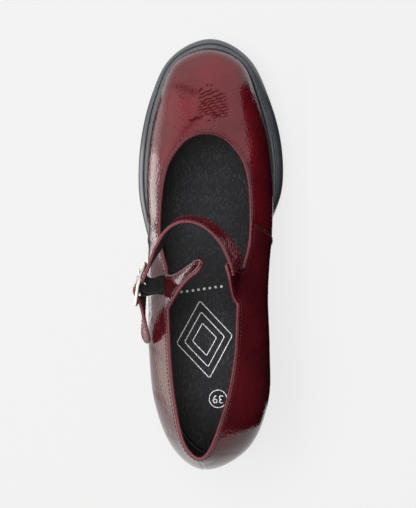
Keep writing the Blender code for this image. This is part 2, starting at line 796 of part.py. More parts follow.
def make_buckle(material):
    """The buckle's rounded frame with its centre bar."""
    middle, forward, width, outward = buckle_frame()
    inner_width = STRAP_WIDTH / 2 + BUCKLE_PLAY
    half_length = BUCKLE_LENGTH / 2 - BUCKLE_WIRE / 2
    half_width = inner_width + BUCKLE_WIRE / 2
    rings = []
    for a, b, turn in ((1, 1, 0), (-1, 1, 1), (-1, -1, 2), (1, -1, 3)):
        corner = np.array((a * (half_length - BUCKLE_CORNER), b * (half_width - BUCKLE_CORNER)))
        for step in range(5):
            angle = math.pi / 2 * (turn + step / 4)
            flat = corner + BUCKLE_CORNER * np.array((math.cos(angle), math.sin(angle)))
            centre = middle + forward * flat[0] + width * flat[1]
            side = forward * math.cos(angle) + width * math.sin(angle)
            rings.append([
                centre + BUCKLE_WIRE / 2 * (math.cos(around) * side + math.sin(around) * outward)
                for around in [math.pi / 4 * part for part in range(8)]
            ])
    frame = tube("buckle_frame", rings, material, closed=True)
    reach = half_width + BUCKLE_WIRE * 0.1
    centre = middle - outward * BAR_DROP
    bar = hide(rod("buckle_bar", [centre - width * reach, centre + width * reach], BAR_RADIUS, 12, material))
    combine(frame, bar, "UNION")
    return frame


def prong_path():
    """The prong's centre line: a hook round the bar, then straight on to the front of the frame."""
    middle, forward, width, outward = buckle_frame()
    bar = middle - outward * BAR_DROP
    radius = BAR_RADIUS + GAP + PRONG_RADIUS
    path = []
    for step in range(11):
        angle = math.radians(-165 + 255 * step / 10)
        path.append(bar + radius * (math.cos(angle) * forward + math.sin(angle) * outward))
    half_length = BUCKLE_LENGTH / 2 - BUCKLE_WIRE / 2
    rest = BUCKLE_WIRE / 2 + GAP + PRONG_RADIUS
    path.append(middle - forward * (half_length + BUCKLE_WIRE * 0.3) + outward * rest)
    return path


def make_elastic(material):
    """The doubled elastic that holds the buckle, looped round its bar and slotted for the prong."""
    middle, forward, width, outward = buckle_frame()
    front, rear = tab_stations("lateral")
    first, last = ELASTIC_SPAN_SHARES
    radius = BAR_RADIUS + GAP + ELASTIC_THICKNESS / 2
    columns = 7
    layers = []
    for column in range(columns):
        share = column / (columns - 1)
        place = front + (rear - front) * (first + (last - first) * share)
        anchor = wall_point(place, ELASTIC_SEAT_SHARE)
        normal = wall_normal(place, ELASTIC_SEAT_SHARE)
        ahead = wall_point(place + 0.3, ELASTIC_SEAT_SHARE) - wall_point(place - 0.3, ELASTIC_SEAT_SHARE)
        rise = unit(np.cross(unit(ahead), normal))
        rise = rise if rise[2] > 0 else -rise
        bar = middle + width * ELASTIC_WIDTH * (share - 0.5) - outward * BAR_DROP
        toward = anchor - bar
        toward = unit(toward - width * toward.dot(width))
        side = unit(np.cross(toward, width))
        side = side if side.dot(rise) > 0 else -side
        start = anchor + normal * 1.5 * GAP
        reach = float(np.linalg.norm(start - bar)) * 0.35
        apart = ELASTIC_THICKNESS / 2 + GAP

        def layer(sign):
            controls = (
                start + rise * apart * sign,
                start + rise * apart * sign + normal * reach,
                bar + side * radius * sign + toward * reach,
                bar + side * radius * sign,
            )
            return [bezier(controls, step / 6) for step in range(7)]

        upper, lower = layer(1), layer(-1)
        turn = [
            bar + radius * (math.cos(angle) * side - math.sin(angle) * toward)
            for angle in [math.pi * step / 8 for step in range(1, 8)]
        ]
        layers.append(upper + turn + lower[::-1])
    count = len(layers[0])
    points = []
    for column, line in enumerate(layers):
        beside = layers[column + 1] if column + 1 < columns else layers[column - 1]
        sign = 1 if column + 1 < columns else -1
        for step in range(count):
            along = line[min(step + 1, count - 1)] - line[max(step - 1, 0)]
            normal = unit(np.cross(along, (beside[step] - line[step]) * sign))
            offset = normal * ELASTIC_THICKNESS / 2
            points += [line[step] + offset, line[step] - offset]

    def at(column, step, face):
        return 2 * (column * count + step) + face

    faces = []
    for column in range(columns - 1):
        for step in range(count - 1):
            for face in (0, 1):
                faces.append((at(column, step, face), at(column + 1, step, face),
                              at(column + 1, step + 1, face), at(column, step + 1, face)))
        for step in (0, count - 1):
            faces.append((at(column, step, 0), at(column + 1, step, 0),
                          at(column + 1, step, 1), at(column, step, 1)))
    for step in range(count - 1):
        for column in (0, columns - 1):
            faces.append((at(column, step, 0), at(column, step + 1, 0),
                          at(column, step + 1, 1), at(column, step, 1)))
    elastic = make_object("elastic", points, faces, material)
    bar = middle - outward * BAR_DROP
    slot = PRONG_RADIUS + 2 * GAP
    reach = radius + ELASTIC_THICKNESS
    rings = [
        box_ring(bar + width * slot * sign, forward, outward, reach * 1.2, reach * 1.2)
        for sign in (-1, 1)
    ]
    combine(elastic, hide(tube("slot_cutter", rings, material)), "DIFFERENCE")
    return elastic


def main():
    clear_scene()
    materials = {
        "patent": make_material("patent", (0.115, 0.010, 0.018), 0.14),
        "rubber": make_material("rubber", (0.016, 0.015, 0.017), 0.42),
        "lining": make_material("lining", (0.009, 0.009, 0.011), 0.62),
        "webbing": make_material("webbing", (0.012, 0.012, 0.013), 0.85),
        "nickel": make_material("nickel", (0.70, 0.69, 0.67), 0.20, 1.0),
    }
    make_upper(materials["patent"])
    make_insole(materials["lining"])
    make_outsole(materials["rubber"])
    make_heel(materials)
    make_strap(materials["patent"])
    make_buckle(materials["nickel"])
    rod("prong", prong_path(), PRONG_RADIUS, 10, materials["nickel"])
    make_elastic(materials["webbing"])


main()
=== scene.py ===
# A mary jane shoe for the left foot in burgundy crinkled patent leather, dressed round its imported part.
# Metres, +Y towards the toe, +X towards the inner (medial) side, +Z up.

import math

import bmesh
import bpy
import numpy as np
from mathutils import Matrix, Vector
from mathutils.bvhtree import BVHTree


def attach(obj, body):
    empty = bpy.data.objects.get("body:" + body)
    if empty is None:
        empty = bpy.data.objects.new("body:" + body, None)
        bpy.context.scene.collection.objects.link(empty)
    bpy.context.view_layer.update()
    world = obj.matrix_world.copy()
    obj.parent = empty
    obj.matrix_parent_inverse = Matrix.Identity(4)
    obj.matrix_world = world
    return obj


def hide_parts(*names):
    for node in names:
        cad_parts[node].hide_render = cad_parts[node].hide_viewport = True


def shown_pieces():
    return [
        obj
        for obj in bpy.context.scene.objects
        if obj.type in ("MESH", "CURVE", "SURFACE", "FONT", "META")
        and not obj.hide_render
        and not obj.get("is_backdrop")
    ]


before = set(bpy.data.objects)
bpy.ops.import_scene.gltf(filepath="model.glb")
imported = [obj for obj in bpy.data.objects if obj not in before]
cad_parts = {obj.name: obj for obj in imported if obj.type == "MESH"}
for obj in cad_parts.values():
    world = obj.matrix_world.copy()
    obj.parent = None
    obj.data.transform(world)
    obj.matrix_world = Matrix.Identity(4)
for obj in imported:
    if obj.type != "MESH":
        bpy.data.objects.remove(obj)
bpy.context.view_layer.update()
mm = 0.001


# Numbers and curves

def unit(vectors):
    return vectors / np.linalg.norm(vectors, axis=-1, keepdims=True)


def smooth(share):
    share = np.clip(share, 0.0, 1.0)
    return share * share * (3 - 2 * share)


def cubic(start, slopeIn, end, slopeOut, part):  # a Hermite piece
    square, cube = part * part, part**3
    return (
        (2 * cube - 3 * square + 1) * start + (cube - 2 * square + part) * slopeIn
        + (3 * square - 2 * cube) * end + (cube - square) * slopeOut
    )


def bezier(a, b, c, d, part):
    part = np.asarray(part)[..., None]
    rest = 1 - part
    return rest**3 * a + 3 * rest * rest * part * b + 3 * rest * part * part * c + part**3 * d


def across(direction, roll):  # a band's width direction, leaning roll degrees to its left
    upward = unit(np.array((0, 0, 1.0)) - direction[2] * direction)
    right = np.cross(direction, upward)
    return math.cos(math.radians(roll)) * upward - math.sin(math.radians(roll)) * right


def headingVector(heading, climb):  # turned from +Y towards +X, then lifted, in degrees
    heading, climb = math.radians(heading), math.radians(climb)
    level = math.cos(climb)
    return np.array((math.sin(heading) * level, math.cos(heading) * level, math.sin(climb)))


def lengthsAlong(points):
    return np.concatenate(([0], np.cumsum(np.linalg.norm(np.diff(points, axis=0), axis=1))))


# The last, as in the part's source: the upper's own table, where foot is its lower edge and collar its top

last = {
    "length": 0.2682, "ballWidth": 0.0776, "platform": 0.022, "heelRise": 0.030, "toeRise": 0.009,
    "toeSpring": 0.007, "collarHeight": 0.058, "wallSwell": 0.013, "wall": 0.0021, "gap": 0.0003,
    "waistThickness": 0.0065, "step": 5, "count": 120,
}
columnNames = ("footX", "footY", "collarX", "collarY", "rise", "swell", "first", "inward", "lift", "reach")
lastTable = np.array((
    (0.008, -0.4810, -0.026, -0.4580, 1.00, 1.00, 0.27, 0.10, 0.72, 0.16),  # heel, back
    (-0.204, -0.4380, -0.147, -0.4230, 0.98, 1.02, 0.27, 0.06, 0.72, 0.16),
    (-0.330, -0.3460, -0.221, -0.3370, 0.875, 1.11, 0.28, 0.04, 0.72, 0.16),
    (-0.374, -0.2310, -0.266, -0.2390, 0.765, 1.18, 0.30, 0.02, 0.72, 0.18),
    (-0.374, -0.1380, -0.292, -0.1380, 0.735, 1.34, 0.30, 0.00, 0.70, 0.24),
    (-0.380, -0.0800, -0.305, -0.0960, 0.670, 1.40, 0.30, 0.00, 0.70, 0.34),
    (-0.396, -0.0250, -0.318, -0.0560, 0.630, 1.31, 0.30, 0.02, 0.70, 0.52),  # notch in front of the tab
    (-0.450, 0.0500, -0.382, 0.0200, 0.635, 0.60, 0.32, 0.10, 0.72, 0.82),
    (-0.497, 0.1450, -0.372, 0.1180, 0.650, 0.34, 0.36, 0.22, 0.76, 0.99),
    (-0.482, 0.2500, -0.318, 0.1880, 0.672, 0.26, 0.42, 0.28, 0.80, 1.00),
    (-0.408, 0.3520, -0.205, 0.2350, 0.676, 0.24, 0.50, 0.34, 0.82, 0.92),
    (-0.276, 0.4370, -0.100, 0.2550, 0.638, 0.22, 0.58, 0.36, 0.80, 0.78),
    (0.000, 0.4685, -0.006, 0.2595, 0.626, 0.22, 0.62, 0.37, 0.79, 0.99),  # toe tip
    (0.262, 0.4370, 0.092, 0.2550, 0.638, 0.22, 0.58, 0.36, 0.80, 0.75),
    (0.388, 0.3520, 0.200, 0.2350, 0.676, 0.24, 0.50, 0.34, 0.82, 0.93),
    (0.476, 0.2500, 0.308, 0.1880, 0.672, 0.26, 0.42, 0.28, 0.80, 1.00),
    (0.503, 0.1450, 0.350, 0.1180, 0.650, 0.36, 0.36, 0.22, 0.76, 0.82),
    (0.474, 0.0500, 0.351, 0.0200, 0.635, 0.66, 0.32, 0.10, 0.72, 0.10),
    (0.432, -0.0250, 0.302, -0.0460, 0.630, 0.96, 0.30, 0.04, 0.70, 0.10),  # notch
    (0.414, -0.0800, 0.282, -0.0850, 0.670, 1.04, 0.30, 0.00, 0.70, 0.14),
    (0.412, -0.1380, 0.266, -0.1260, 0.735, 1.06, 0.30, 0.00, 0.70, 0.16),
    (0.428, -0.2310, 0.248, -0.2390, 0.765, 1.04, 0.30, 0.02, 0.72, 0.18),
    (0.424, -0.3430, 0.186, -0.3370, 0.875, 1.02, 0.28, 0.04, 0.72, 0.16),
    (0.290, -0.4380, 0.074, -0.4330, 0.98, 1.02, 0.27, 0.06, 0.72, 0.16),
))
lastBottom = np.array((  # share of the length, pitch, toe
    (-0.52, 1.03, 0), (-0.42, 1.00, 0), (-0.31, 0.965, 0), (-0.21, 0.85, 0), (-0.11, 0.60, 0),
    (-0.01, 0.31, 0), (0.09, 0.10, 0), (0.18, 0, 0), (0.27, 0, 0.08), (0.36, 0, 0.34),
    (0.44, 0, 0.72), (0.52, 0, 1.10),
))
soleBottom = np.array((  # share of the length, arch, spring
    (-0.52, 1, 0), (-0.17, 1, 0), (-0.12, 0.93, 0), (-0.07, 0.66, 0), (-0.02, 0.27, 0), (0.02, 0.06, 0),
    (0.05, 0, 0), (0.285, 0, 0), (0.34, 0, 0.10), (0.42, 0, 0.48), (0.52, 0, 1.15),
))
tabs = {
    "lateral": {
        "front": 30, "rear": 20, "x": -0.0116, "y": -0.0313, "rise": 1.300,
        "heading": 59.0, "climb": 26.0, "roll": -25.0, "round": 0.85, "ahead": 1,
    },
    "medial": {
        "front": 90, "rear": 100, "x": 0.2200, "y": -0.0254, "rise": 1.310,
        "heading": -20.0, "climb": 24.0, "roll": 32.0, "round": 0.10, "ahead": -1,
    },
}
tabWidth, tabSweep = 0.0140, 0.75


def alongTable(table, share, column):
    places, value = table[:, 0], table[:, column]
    index = np.clip(np.searchsorted(places, share) - 1, 0, len(places) - 2)
    width = places[index + 1] - places[index]

    def slope(i):
        high, low = np.minimum(i + 1, len(places) - 1), np.maximum(i - 1, 0)
        return (value[high] - value[low]) / (places[high] - places[low]) * width

    part = np.clip((share - places[index]) / width, 0.0, 1.0)
    return cubic(value[index], slope(index), value[index + 1], slope(index + 1), part)


def roundTable(place, name):
    place = np.asarray(place, float)
    index = np.floor(place / last["step"]).astype(int)
    part = place / last["step"] - index
    column = lastTable[:, columnNames.index(name)]
    a, b, c, d = (column[(index + step) % len(column)] for step in (-1, 0, 1, 2))
    return cubic(b, (c - a) / 2, c, (d - b) / 2, part)


def lastHeight(y):
    share = np.asarray(y) / last["length"]
    rise = alongTable(lastBottom, share, 1) * last["heelRise"]
    return last["platform"] + rise + alongTable(lastBottom, share, 2) * last["toeRise"]


def groundHeight(y):
    share = np.asarray(y) / last["length"]
    arch = alongTable(soleBottom, share, 1) * (lastHeight(y) - last["waistThickness"])
    return np.maximum(arch + alongTable(soleBottom, share, 2) * last["toeSpring"], 0.0)


def footPoint(place):
    x, y = roundTable(place, "footX") * last["ballWidth"], roundTable(place, "footY") * last["length"]
    return np.stack((x, y, lastHeight(y) + last["gap"]), axis=-1)


def footOutward(place):
    ahead = footPoint(place + 0.5) - footPoint(place - 0.5)
    return unit(np.stack((-ahead[..., 1], ahead[..., 0], np.zeros_like(ahead[..., 0])), axis=-1))


def wallControls(place):
    foot = footPoint(place)
    rise = roundTable(place, "rise") * last["collarHeight"]
    collar = np.stack((
        roundTable(place, "collarX") * last["ballWidth"],
        roundTable(place, "collarY") * last["length"],
        foot[..., 2] + rise,
    ), axis=-1)
    lower = foot + footOutward(place) * (roundTable(place, "swell") * last["wallSwell"])[..., None]
    lower[..., 2] += roundTable(place, "first") * rise
    upper = foot + (collar - foot) * roundTable(place, "inward")[..., None]
    upper[..., 2] = foot[..., 2] + roundTable(place, "lift") * rise
    return foot, lower, upper, collar


def wallPoint(place, part):
    return bezier(*wallControls(place), part)


def tabEnd(side, share):
    tab = tabs[side]
    middle = np.array((tab["x"] * last["ballWidth"], tab["y"] * last["length"],
                       last["platform"] + tab["rise"] * last["collarHeight"]))
    direction = headingVector(tab["heading"], tab["climb"])
    width = across(direction, tab["roll"])
    offset = np.asarray(2 * share - 1)[..., None]
    back = tab["round"] * tabWidth / 2 * (1 - np.sqrt(np.maximum(1 - (0.96 * offset) ** 2, 0.0)))
    return middle + width * offset * tabWidth / 2 - direction * back, direction


def tabPoint(side, place, part):
    tab = tabs[side]
    share = (place - tab["front"]) / (tab["rear"] - tab["front"])
    foot, lower, upper, collar = wallControls(place)
    end, direction = tabEnd(side, share)
    reach = np.linalg.norm(end - collar, axis=-1, keepdims=True)
    ahead = unit(wallControls(place + tab["ahead"])[3] - collar)
    start = unit(unit(collar - upper) + tabSweep * (share**2)[..., None] * ahead)
    return bezier(collar, collar + start * reach * 0.30, end - direction * reach * 0.40, end, part)


def onTab(tab, place, height):  # whether each point lies on that tab, and the tab's first and last station
    low, high = sorted((tab["front"], tab["rear"]))
    return (height > 1) & (place >= low - 0.4) & (place <= high + 0.4), low, high


def leatherPoint(place, height):  # height runs from 0 at the sole to 1 at the collar, and to 2 up a tab
    point = wallPoint(place, np.minimum(height, 1.0))
    for side, tab in tabs.items():
        on, low, high = onTab(tab, place, height)
        if np.any(on):
            point[on] = tabPoint(side, np.clip(place[on], low, high), height[on] - 1)
    return point


def leatherNormal(place, height):
    low, high = np.maximum(height - 0.02, 0.0), np.minimum(height + 0.02, 2.0)
    high = np.where((height <= 1) & (height > 0.98), 1.0, high)
    low = np.where((height > 1) & (low < 1), 1.0, low)
    before, after = place - 0.25, place + 0.25
    for tab in tabs.values():
        on, first, end = onTab(tab, place, height)
        before = np.where(on, np.maximum(before, first), before)
        after = np.where(on, np.minimum(after, end), after)
    upward = leatherPoint(place, high) - leatherPoint(place, low)
    around = leatherPoint(after, height) - leatherPoint(before, height)
    return unit(np.cross(upward, around))


# Meshes and objects

def linked(name, data):  # a new object, in the scene
    obj = bpy.data.objects.new(name, data)
    bpy.context.scene.collection.objects.link(obj)
    return obj


def makeMesh(name, points, faces, material, sharp=40):
    mesh = bpy.data.meshes.new(name)
    points = np.asarray(points, float).reshape(-1, 3)
    mesh.from_pydata(points.tolist(), [], [tuple(int(i) for i in face) for face in faces])
    mesh.calc_loop_triangles()
    corners = np.empty(len(mesh.loop_triangles) * 3, np.int32)
    mesh.loop_triangles.foreach_get("vertices", corners)
    corners = points[corners.reshape(-1, 3)] - points.mean(0)
    if np.linalg.det(corners).sum() < 0:  # a closed shape that came out inside out
        mesh.flip_normals()
    mesh.polygons.foreach_set("use_smooth", [True] * len(mesh.polygons))
    mesh.set_sharp_from_angle(angle=math.radians(sharp))
    mesh.materials.append(material)
    obj = linked(name, mesh)
    return obj


def thickSheet(name, face, normal, near, far, exists, material, foldShade=None):
    # A closed sheet over a grid: near and far are the offsets of its two faces along the normal, and the
    # painted shade of its creases is written to its outer face as an attribute for the material
    columns, rows = face.shape[:2]
    outer = face + normal * np.broadcast_to(near, face.shape[:2])[..., None]
    inner = face + normal * np.broadcast_to(far, face.shape[:2])[..., None]
    number = np.arange(columns * rows).reshape(columns, rows)
    total = columns * rows
    a, b, c, d = number[:-1, :-1], number[:-1, 1:], number[1:, 1:], number[1:, :-1]
    whole = np.stack((a, b, c, d), axis=-1)
    cells = whole[exists]
    faces = [cells, cells[:, ::-1] + total]
    padded = np.pad(exists, 1)
    beside = {  # the edge of a cell, as its corners in order, and whether a cell lies over it
        (0, 1): padded[:-2, 1:-1], (1, 2): padded[1:-1, 2:],
        (2, 3): padded[2:, 1:-1], (3, 0): padded[1:-1, :-2],
    }
    for (first, second), there in beside.items():
        edge = whole[exists & ~there]
        p, q = edge[:, first], edge[:, second]
        faces.append(np.stack((q, p, p + total, q + total), axis=-1))
    faces = np.concatenate(faces)
    used, faces = np.unique(faces, return_inverse=True)
    points = np.concatenate((outer.reshape(-1, 3), inner.reshape(-1, 3)))[used]
    made = makeMesh(name, points, faces.reshape(-1, 4), material)
    if foldShade is not None:
        marks = np.concatenate((np.asarray(foldShade, float).reshape(-1), np.zeros(total)))[used]
        attribute = made.data.attributes.new("foldShade", "FLOAT", "POINT")
        attribute.data.foreach_set("value", marks.astype(np.float32))
    return made


def bandFaces(levels, count, closed=False):  # the quads between rings of points, each ring after the last
    here = np.arange((levels if closed else levels - 1) * count).reshape(-1, count)
    onward = np.roll(here, -1, axis=1)
    faces = np.stack((here, onward, onward + count, here + count), axis=-1).reshape(-1, 4)
    return (faces % (levels * count)).tolist()


def ladder(numbers):  # the faces that close a ring of points, each from one side of it to the other
    count = len(numbers)
    rungs = [(i, i + 1, count - i - 1, (count - i) % count) for i in range(count // 2)]
    return [tuple(dict.fromkeys(numbers[i] for i in rung)) for rung in rungs]


def sweep(name, rings, material, closed=False, sharp=40):
    rings = np.asarray(rings)
    steps, count = rings.shape[:2]
    faces = bandFaces(steps, count, closed)
    if not closed:
        faces += [range(count)[::-1], range((steps - 1) * count, steps * count)]
    return makeMesh(name, rings.reshape(-1, 3), faces, material, sharp)


def cornerPoint(turn, share, halfWide, halfHigh, radius):  # share of the way round a rounded box's corner
    a, b = ((1, 1), (-1, 1), (-1, -1), (1, -1))[turn % 4]
    angle = math.pi / 2 * (turn + share)
    centre = np.array((a * (halfWide - radius), b * (halfHigh - radius)))
    return centre + radius * np.array((math.cos(angle), math.sin(angle)))


def roundedBox(halfWide, halfHigh, radius, corner=5, flat=3):  # a section's outline, anticlockwise
    size, points = (halfWide, halfHigh, radius), []
    for turn in range(4):
        points += [cornerPoint(turn, step / corner, *size) for step in range(corner + 1)]
        start, end = points[-1], cornerPoint(turn + 1, 0, *size)
        points += [start + (end - start) * step / (flat + 1) for step in range(1, flat + 1)]
    return np.array(points)


def circle(centre, radius, first, second, sides):
    angles = np.linspace(0, 2 * math.pi, sides, endpoint=False)
    return [centre + radius * (math.cos(a) * first + math.sin(a) * second) for a in angles]


def evaluatedMesh(obj):
    bpy.context.view_layer.update()
    return bpy.data.meshes.new_from_object(obj.evaluated_get(bpy.context.evaluated_depsgraph_get()))


def bakeModifiers(obj):  # the evaluated mesh takes the place of the object's own
    mesh = evaluatedMesh(obj)
    obj.modifiers.clear()
    obj.data = mesh


def cutWith(obj, cutters):
    for cutter in cutters:
        modifier = obj.modifiers.new(cutter.name, "BOOLEAN")
        modifier.operation, modifier.object, modifier.solver = "DIFFERENCE", cutter, "EXACT"
    bakeModifiers(obj)
    for cutter in cutters:
        bpy.data.objects.remove(cutter)
    return obj


def surfaceTree(objects):
    points, faces = [], []
    for obj in objects:
        base = len(points)
        points += [vertex.co.copy() for vertex in obj.data.vertices]
        faces += [[base + i for i in polygon.vertices] for polygon in obj.data.polygons]
    return BVHTree.FromPolygons(points, faces)


def ontoSurface(tree, points):  # the nearest points of a surface, with its normals there
    found = [tree.find_nearest(Vector(point)) for point in points]
    return np.array([item[0] for item in found]), np.array([item[1] for item in found])


# Materials

def addNode(tree, kind, settings=None, inputs=None):
    node = tree.nodes.new(kind)
    for name, value in (settings or {}).items():
        setattr(node, name, value)
    for name, value in (inputs or {}).items():
        if isinstance(value, bpy.types.NodeSocket):
            tree.links.new(value, node.inputs[name])
        else:
            node.inputs[name].default_value = value
    return node


def colourOf(code):  # an sRGB hex value as linear numbers
    values = [int(code[i:i + 2], 16) / 255 for i in (0, 2, 4)]
    return (*[v / 12.92 if v <= 0.04045 else ((v + 0.055) / 1.055) ** 2.4 for v in values], 1.0)


def newMaterial(name, **sockets):
    material = bpy.data.materials.new(name)
    material.use_nodes = True
    tree = material.node_tree
    shader = tree.nodes["Principled BSDF"]
    for key, value in sockets.items():
        shader.inputs[key.replace("_", " ")].default_value = value
    place = addNode(tree, "ShaderNodeTexCoord")
    return material, tree, shader, place.outputs["Object"]


def perMetre(size):  # a texture's scale for features of that size in millimetres
    return 1000.0 / size


def noise(tree, vector, size, detail=2.0, rough=0.5, distortion=0.0):
    return addNode(tree, "ShaderNodeTexNoise", None, {
        "Vector": vector, "Scale": perMetre(size), "Detail": detail, "Roughness": rough,
        "Distortion": distortion,
    }).outputs["Fac"]


def ramp(tree, value, low, high, first=0.0, second=1.0):
    return addNode(tree, "ShaderNodeMapRange", None, {
        "Value": value, "From Min": low, "From Max": high, "To Min": first, "To Max": second,
    }).outputs["Result"]


def mixColours(tree, share, first, second):
    node = addNode(tree, "ShaderNodeMix", {"data_type": "RGBA"}, {0: share})
    for socket, value in ((6, first), (7, second)):
        if isinstance(value, bpy.types.NodeSocket):
            tree.links.new(value, node.inputs[socket])
        else:
            node.inputs[socket].default_value = value
    return node.outputs[2]


def tint(tree, shader, share, first, second):
    colour = mixColours(tree, share, colourOf(first), colourOf(second))
    tree.links.new(colour, shader.inputs["Base Color"])


def bump(tree, shader, layers):  # layers of (height, distance in mm, strength), coarse to fine
    normal = None
    for height, distance, strength in layers:
        inputs = {"Height": height, "Distance": distance * mm, "Strength": strength}
        if normal is not None:
            inputs["Normal"] = normal
        normal = addNode(tree, "ShaderNodeBump", None, inputs).outputs["Normal"]
    tree.links.new(normal, shader.inputs["Normal"])
    return normal


def math2(tree, operation, first, second):
    return addNode(tree, "ShaderNodeMath", {"operation": operation}, {0: first, 1: second}).outputs[0]


patentLook = {  # sizes in millimetres
    "cloud": 26, "mottle": 1.6, "warp": 7, "wave": 9, "crinkle": 1.7, "grain": 0.75,
    # The last two: the colour and the coat weight of the painted shade in the creases
    "warpReach": 4 * mm, "roughness": 0.30, "foldShade": "3a060c", "foldShadeGloss": 0.12,
}
patentKinds = {  # deep and light colour, and how much of the crinkle's depth is left where it was pressed
    # The vamp's and the strap's copies are painted lighter and the quarters' copy darker: painted light on the
    # vamp and strap and painted shade on the walls, though all are one leather
    "patentLeather": ("380c11", "4a1017", 0.7),
    "patentStrapLit": ("4a1219", "622029", 0.7),
    "patentVampLit": ("450a11", "5c1019", 1.0),
    # The edge's copy is lighter still: a painted highlight for the topline's crest
    "patentEdgeHighlight": ("562026", "682b34", 0.7),
}


def patentLeather(name, deep, light, depth):
    # Patent leather: cowhide under a poured lacquer, crinkled while it cured. A deep red body under a
    # hard clear gloss, whose fine crinkles break up every reflection's edge.
    look = patentLook
    material, tree, shader, place = newMaterial(
        name, Roughness=look["roughness"], IOR=1.5,
        Coat_Weight=1.0, Coat_Roughness=0.05, Coat_IOR=1.5, Specular_IOR_Level=0.0)
    cloud = noise(tree, place, look["cloud"], 3.0)
    mottle = noise(tree, place, look["mottle"], 2.0, 0.6)
    patches, specks = ramp(tree, cloud, 0.35, 0.65, 0.0, 0.7), ramp(tree, mottle, 0.3, 0.7, 0.0, 0.3)
    share = math2(tree, "ADD", patches, specks)
    colour = mixColours(tree, share, colourOf(deep), colourOf(light))
    warped = addNode(tree, "ShaderNodeTexNoise", None,
                     {"Vector": place, "Scale": perMetre(look["warp"]), "Detail": 2.0})
    moved = addNode(tree, "ShaderNodeVectorMath", {"operation": "MULTIPLY_ADD"},
                    {0: warped.outputs["Color"], 1: (look["warpReach"],) * 3, 2: place}).outputs["Vector"]
    cells = addNode(tree, "ShaderNodeTexVoronoi", {"feature": "SMOOTH_F1"},
                    {"Vector": moved, "Scale": perMetre(look["crinkle"]), "Smoothness": 0.6})
    crinkle = cells.outputs["Distance"]
    fine = noise(tree, moved, look["grain"], 2.0, 0.55)
    wave = noise(tree, place, look["wave"], 2.0)
    layers = ((wave, 0.6 * depth, 0.5), (crinkle, 0.20 * depth, 0.8), (fine, 0.08 * depth, 0.9))
    normal = bump(tree, shader, layers)
    tree.links.new(normal, shader.inputs["Coat Normal"])
    # Painted shade in the folds: the base colour darkens and the coat is thinned there, so that a fold reads as
    # a dark line
    marked = addNode(tree, "ShaderNodeAttribute", {"attribute_name": "foldShade"}).outputs["Fac"]
    foldShade = addNode(tree, "ShaderNodeMath", {"operation": "MULTIPLY", "use_clamp": True},
                   {0: marked, 1: ramp(tree, crinkle, 0.25, 0.75, 0.55, 1.35)}).outputs[0]
    tree.links.new(mixColours(tree, foldShade, colour, colourOf(look["foldShade"])), shader.inputs["Base Color"])
    tree.links.new(ramp(tree, foldShade, 0.0, 1.0, 1.0, look["foldShadeGloss"]), shader.inputs["Coat Weight"])
    return material


def liningLeather():
    # Pigskin lining, dyed black and left unlacquered: matt, with a fine pebbled grain.
    material, tree, shader, place = newMaterial(
        "liningLeather", Roughness=0.62, IOR=1.45, Specular_IOR_Level=0.35)
    grain = noise(tree, place, 1.1, 3.0, 0.6)
    tint(tree, shader, ramp(tree, grain, 0.35, 0.7), "151517", "242427")
    bump(tree, shader, ((grain, 0.12, 0.7),))
    return material


def insoleLeather():
    # Black goatskin over foam: a grain of short diagonal folds that catches a little light.
    material, tree, shader, place = newMaterial(
        "insoleLeather", Roughness=0.58, IOR=1.5, Specular_IOR_Level=0.35)
    turned = addNode(tree, "ShaderNodeMapping", None,
                     {"Vector": place, "Rotation": (0, 0, math.radians(-35)), "Scale": (1.0, 0.42, 1.0)})
    folds = noise(tree, turned.outputs["Vector"], 0.95, 3.0, 0.55, 0.6)
    soft = noise(tree, place, 14, 2.0)
    share = math2(tree, "MULTIPLY", ramp(tree, folds, 0.48, 0.72), ramp(tree, soft, 0.3, 0.7, 0.35, 1.0))
    tint(tree, shader, share, "111113", "2d2e30")
    bump(tree, shader, ((soft, 0.6, 0.25), (folds, 0.16, 0.8)))
    return material


def mouldedRubber():
    # Expanded rubber, moulded: satin black with a very fine spark texture from the mould.
    material, tree, shader, place = newMaterial(
        "mouldedRubber", Roughness=0.34, IOR=1.5, Specular_IOR_Level=0.95)
    spark = noise(tree, place, 0.5, 2.0, 0.6)
    cloud = noise(tree, place, 18, 2.0)
    tint(tree, shader, ramp(tree, cloud, 0.3, 0.7), "303237", "3a3c41")
    tree.links.new(ramp(tree, cloud, 0.3, 0.7, 0.32, 0.42), shader.inputs["Roughness"])
    bump(tree, shader, ((spark, 0.035, 0.6),))
    return material


def nickelPlate():
    # Zinc casting plated with nickel and polished: bright and slightly warm, with faint rubbing marks.
    material, tree, shader, place = newMaterial("nickelPlate", Metallic=1.0, Roughness=0.13)
    rub = noise(tree, place, 1.5, 3.0)
    tint(tree, shader, rub, "cfcbc3", "e4e1da")
    tree.links.new(ramp(tree, rub, 0.3, 0.7, 0.09, 0.2), shader.inputs["Roughness"])
    bump(tree, shader, ((rub, 0.03, 0.3),))
    return material


def elasticWebbing():
    # Woven elastic: black polyester over rubber cords, matt, its yarn drawn twice as coarse so that it shows.
    material, tree, shader, place = newMaterial("elasticWebbing", Roughness=0.75, IOR=1.45, Sheen_Weight=0.06,
                                                Specular_IOR_Level=0.3)
    uv = addNode(tree, "ShaderNodeUVMap", {"uv_map": "UVMap"}).outputs["UV"]
    yarn = addNode(tree, "ShaderNodeTexWave", {"bands_direction": "X"},
                   {"Vector": uv, "Scale": 14.0, "Distortion": 1.0, "Detail": 1.0}).outputs["Fac"]
    pick = addNode(tree, "ShaderNodeTexWave", {"bands_direction": "Y"},
                   {"Vector": uv, "Scale": 20.0, "Distortion": 0.6}).outputs["Fac"]
    weave = math2(tree, "MULTIPLY", yarn, pick)
    tint(tree, shader, weave, "050506", "161618")
    bump(tree, shader, ((weave, 0.09, 0.7),))
    return material


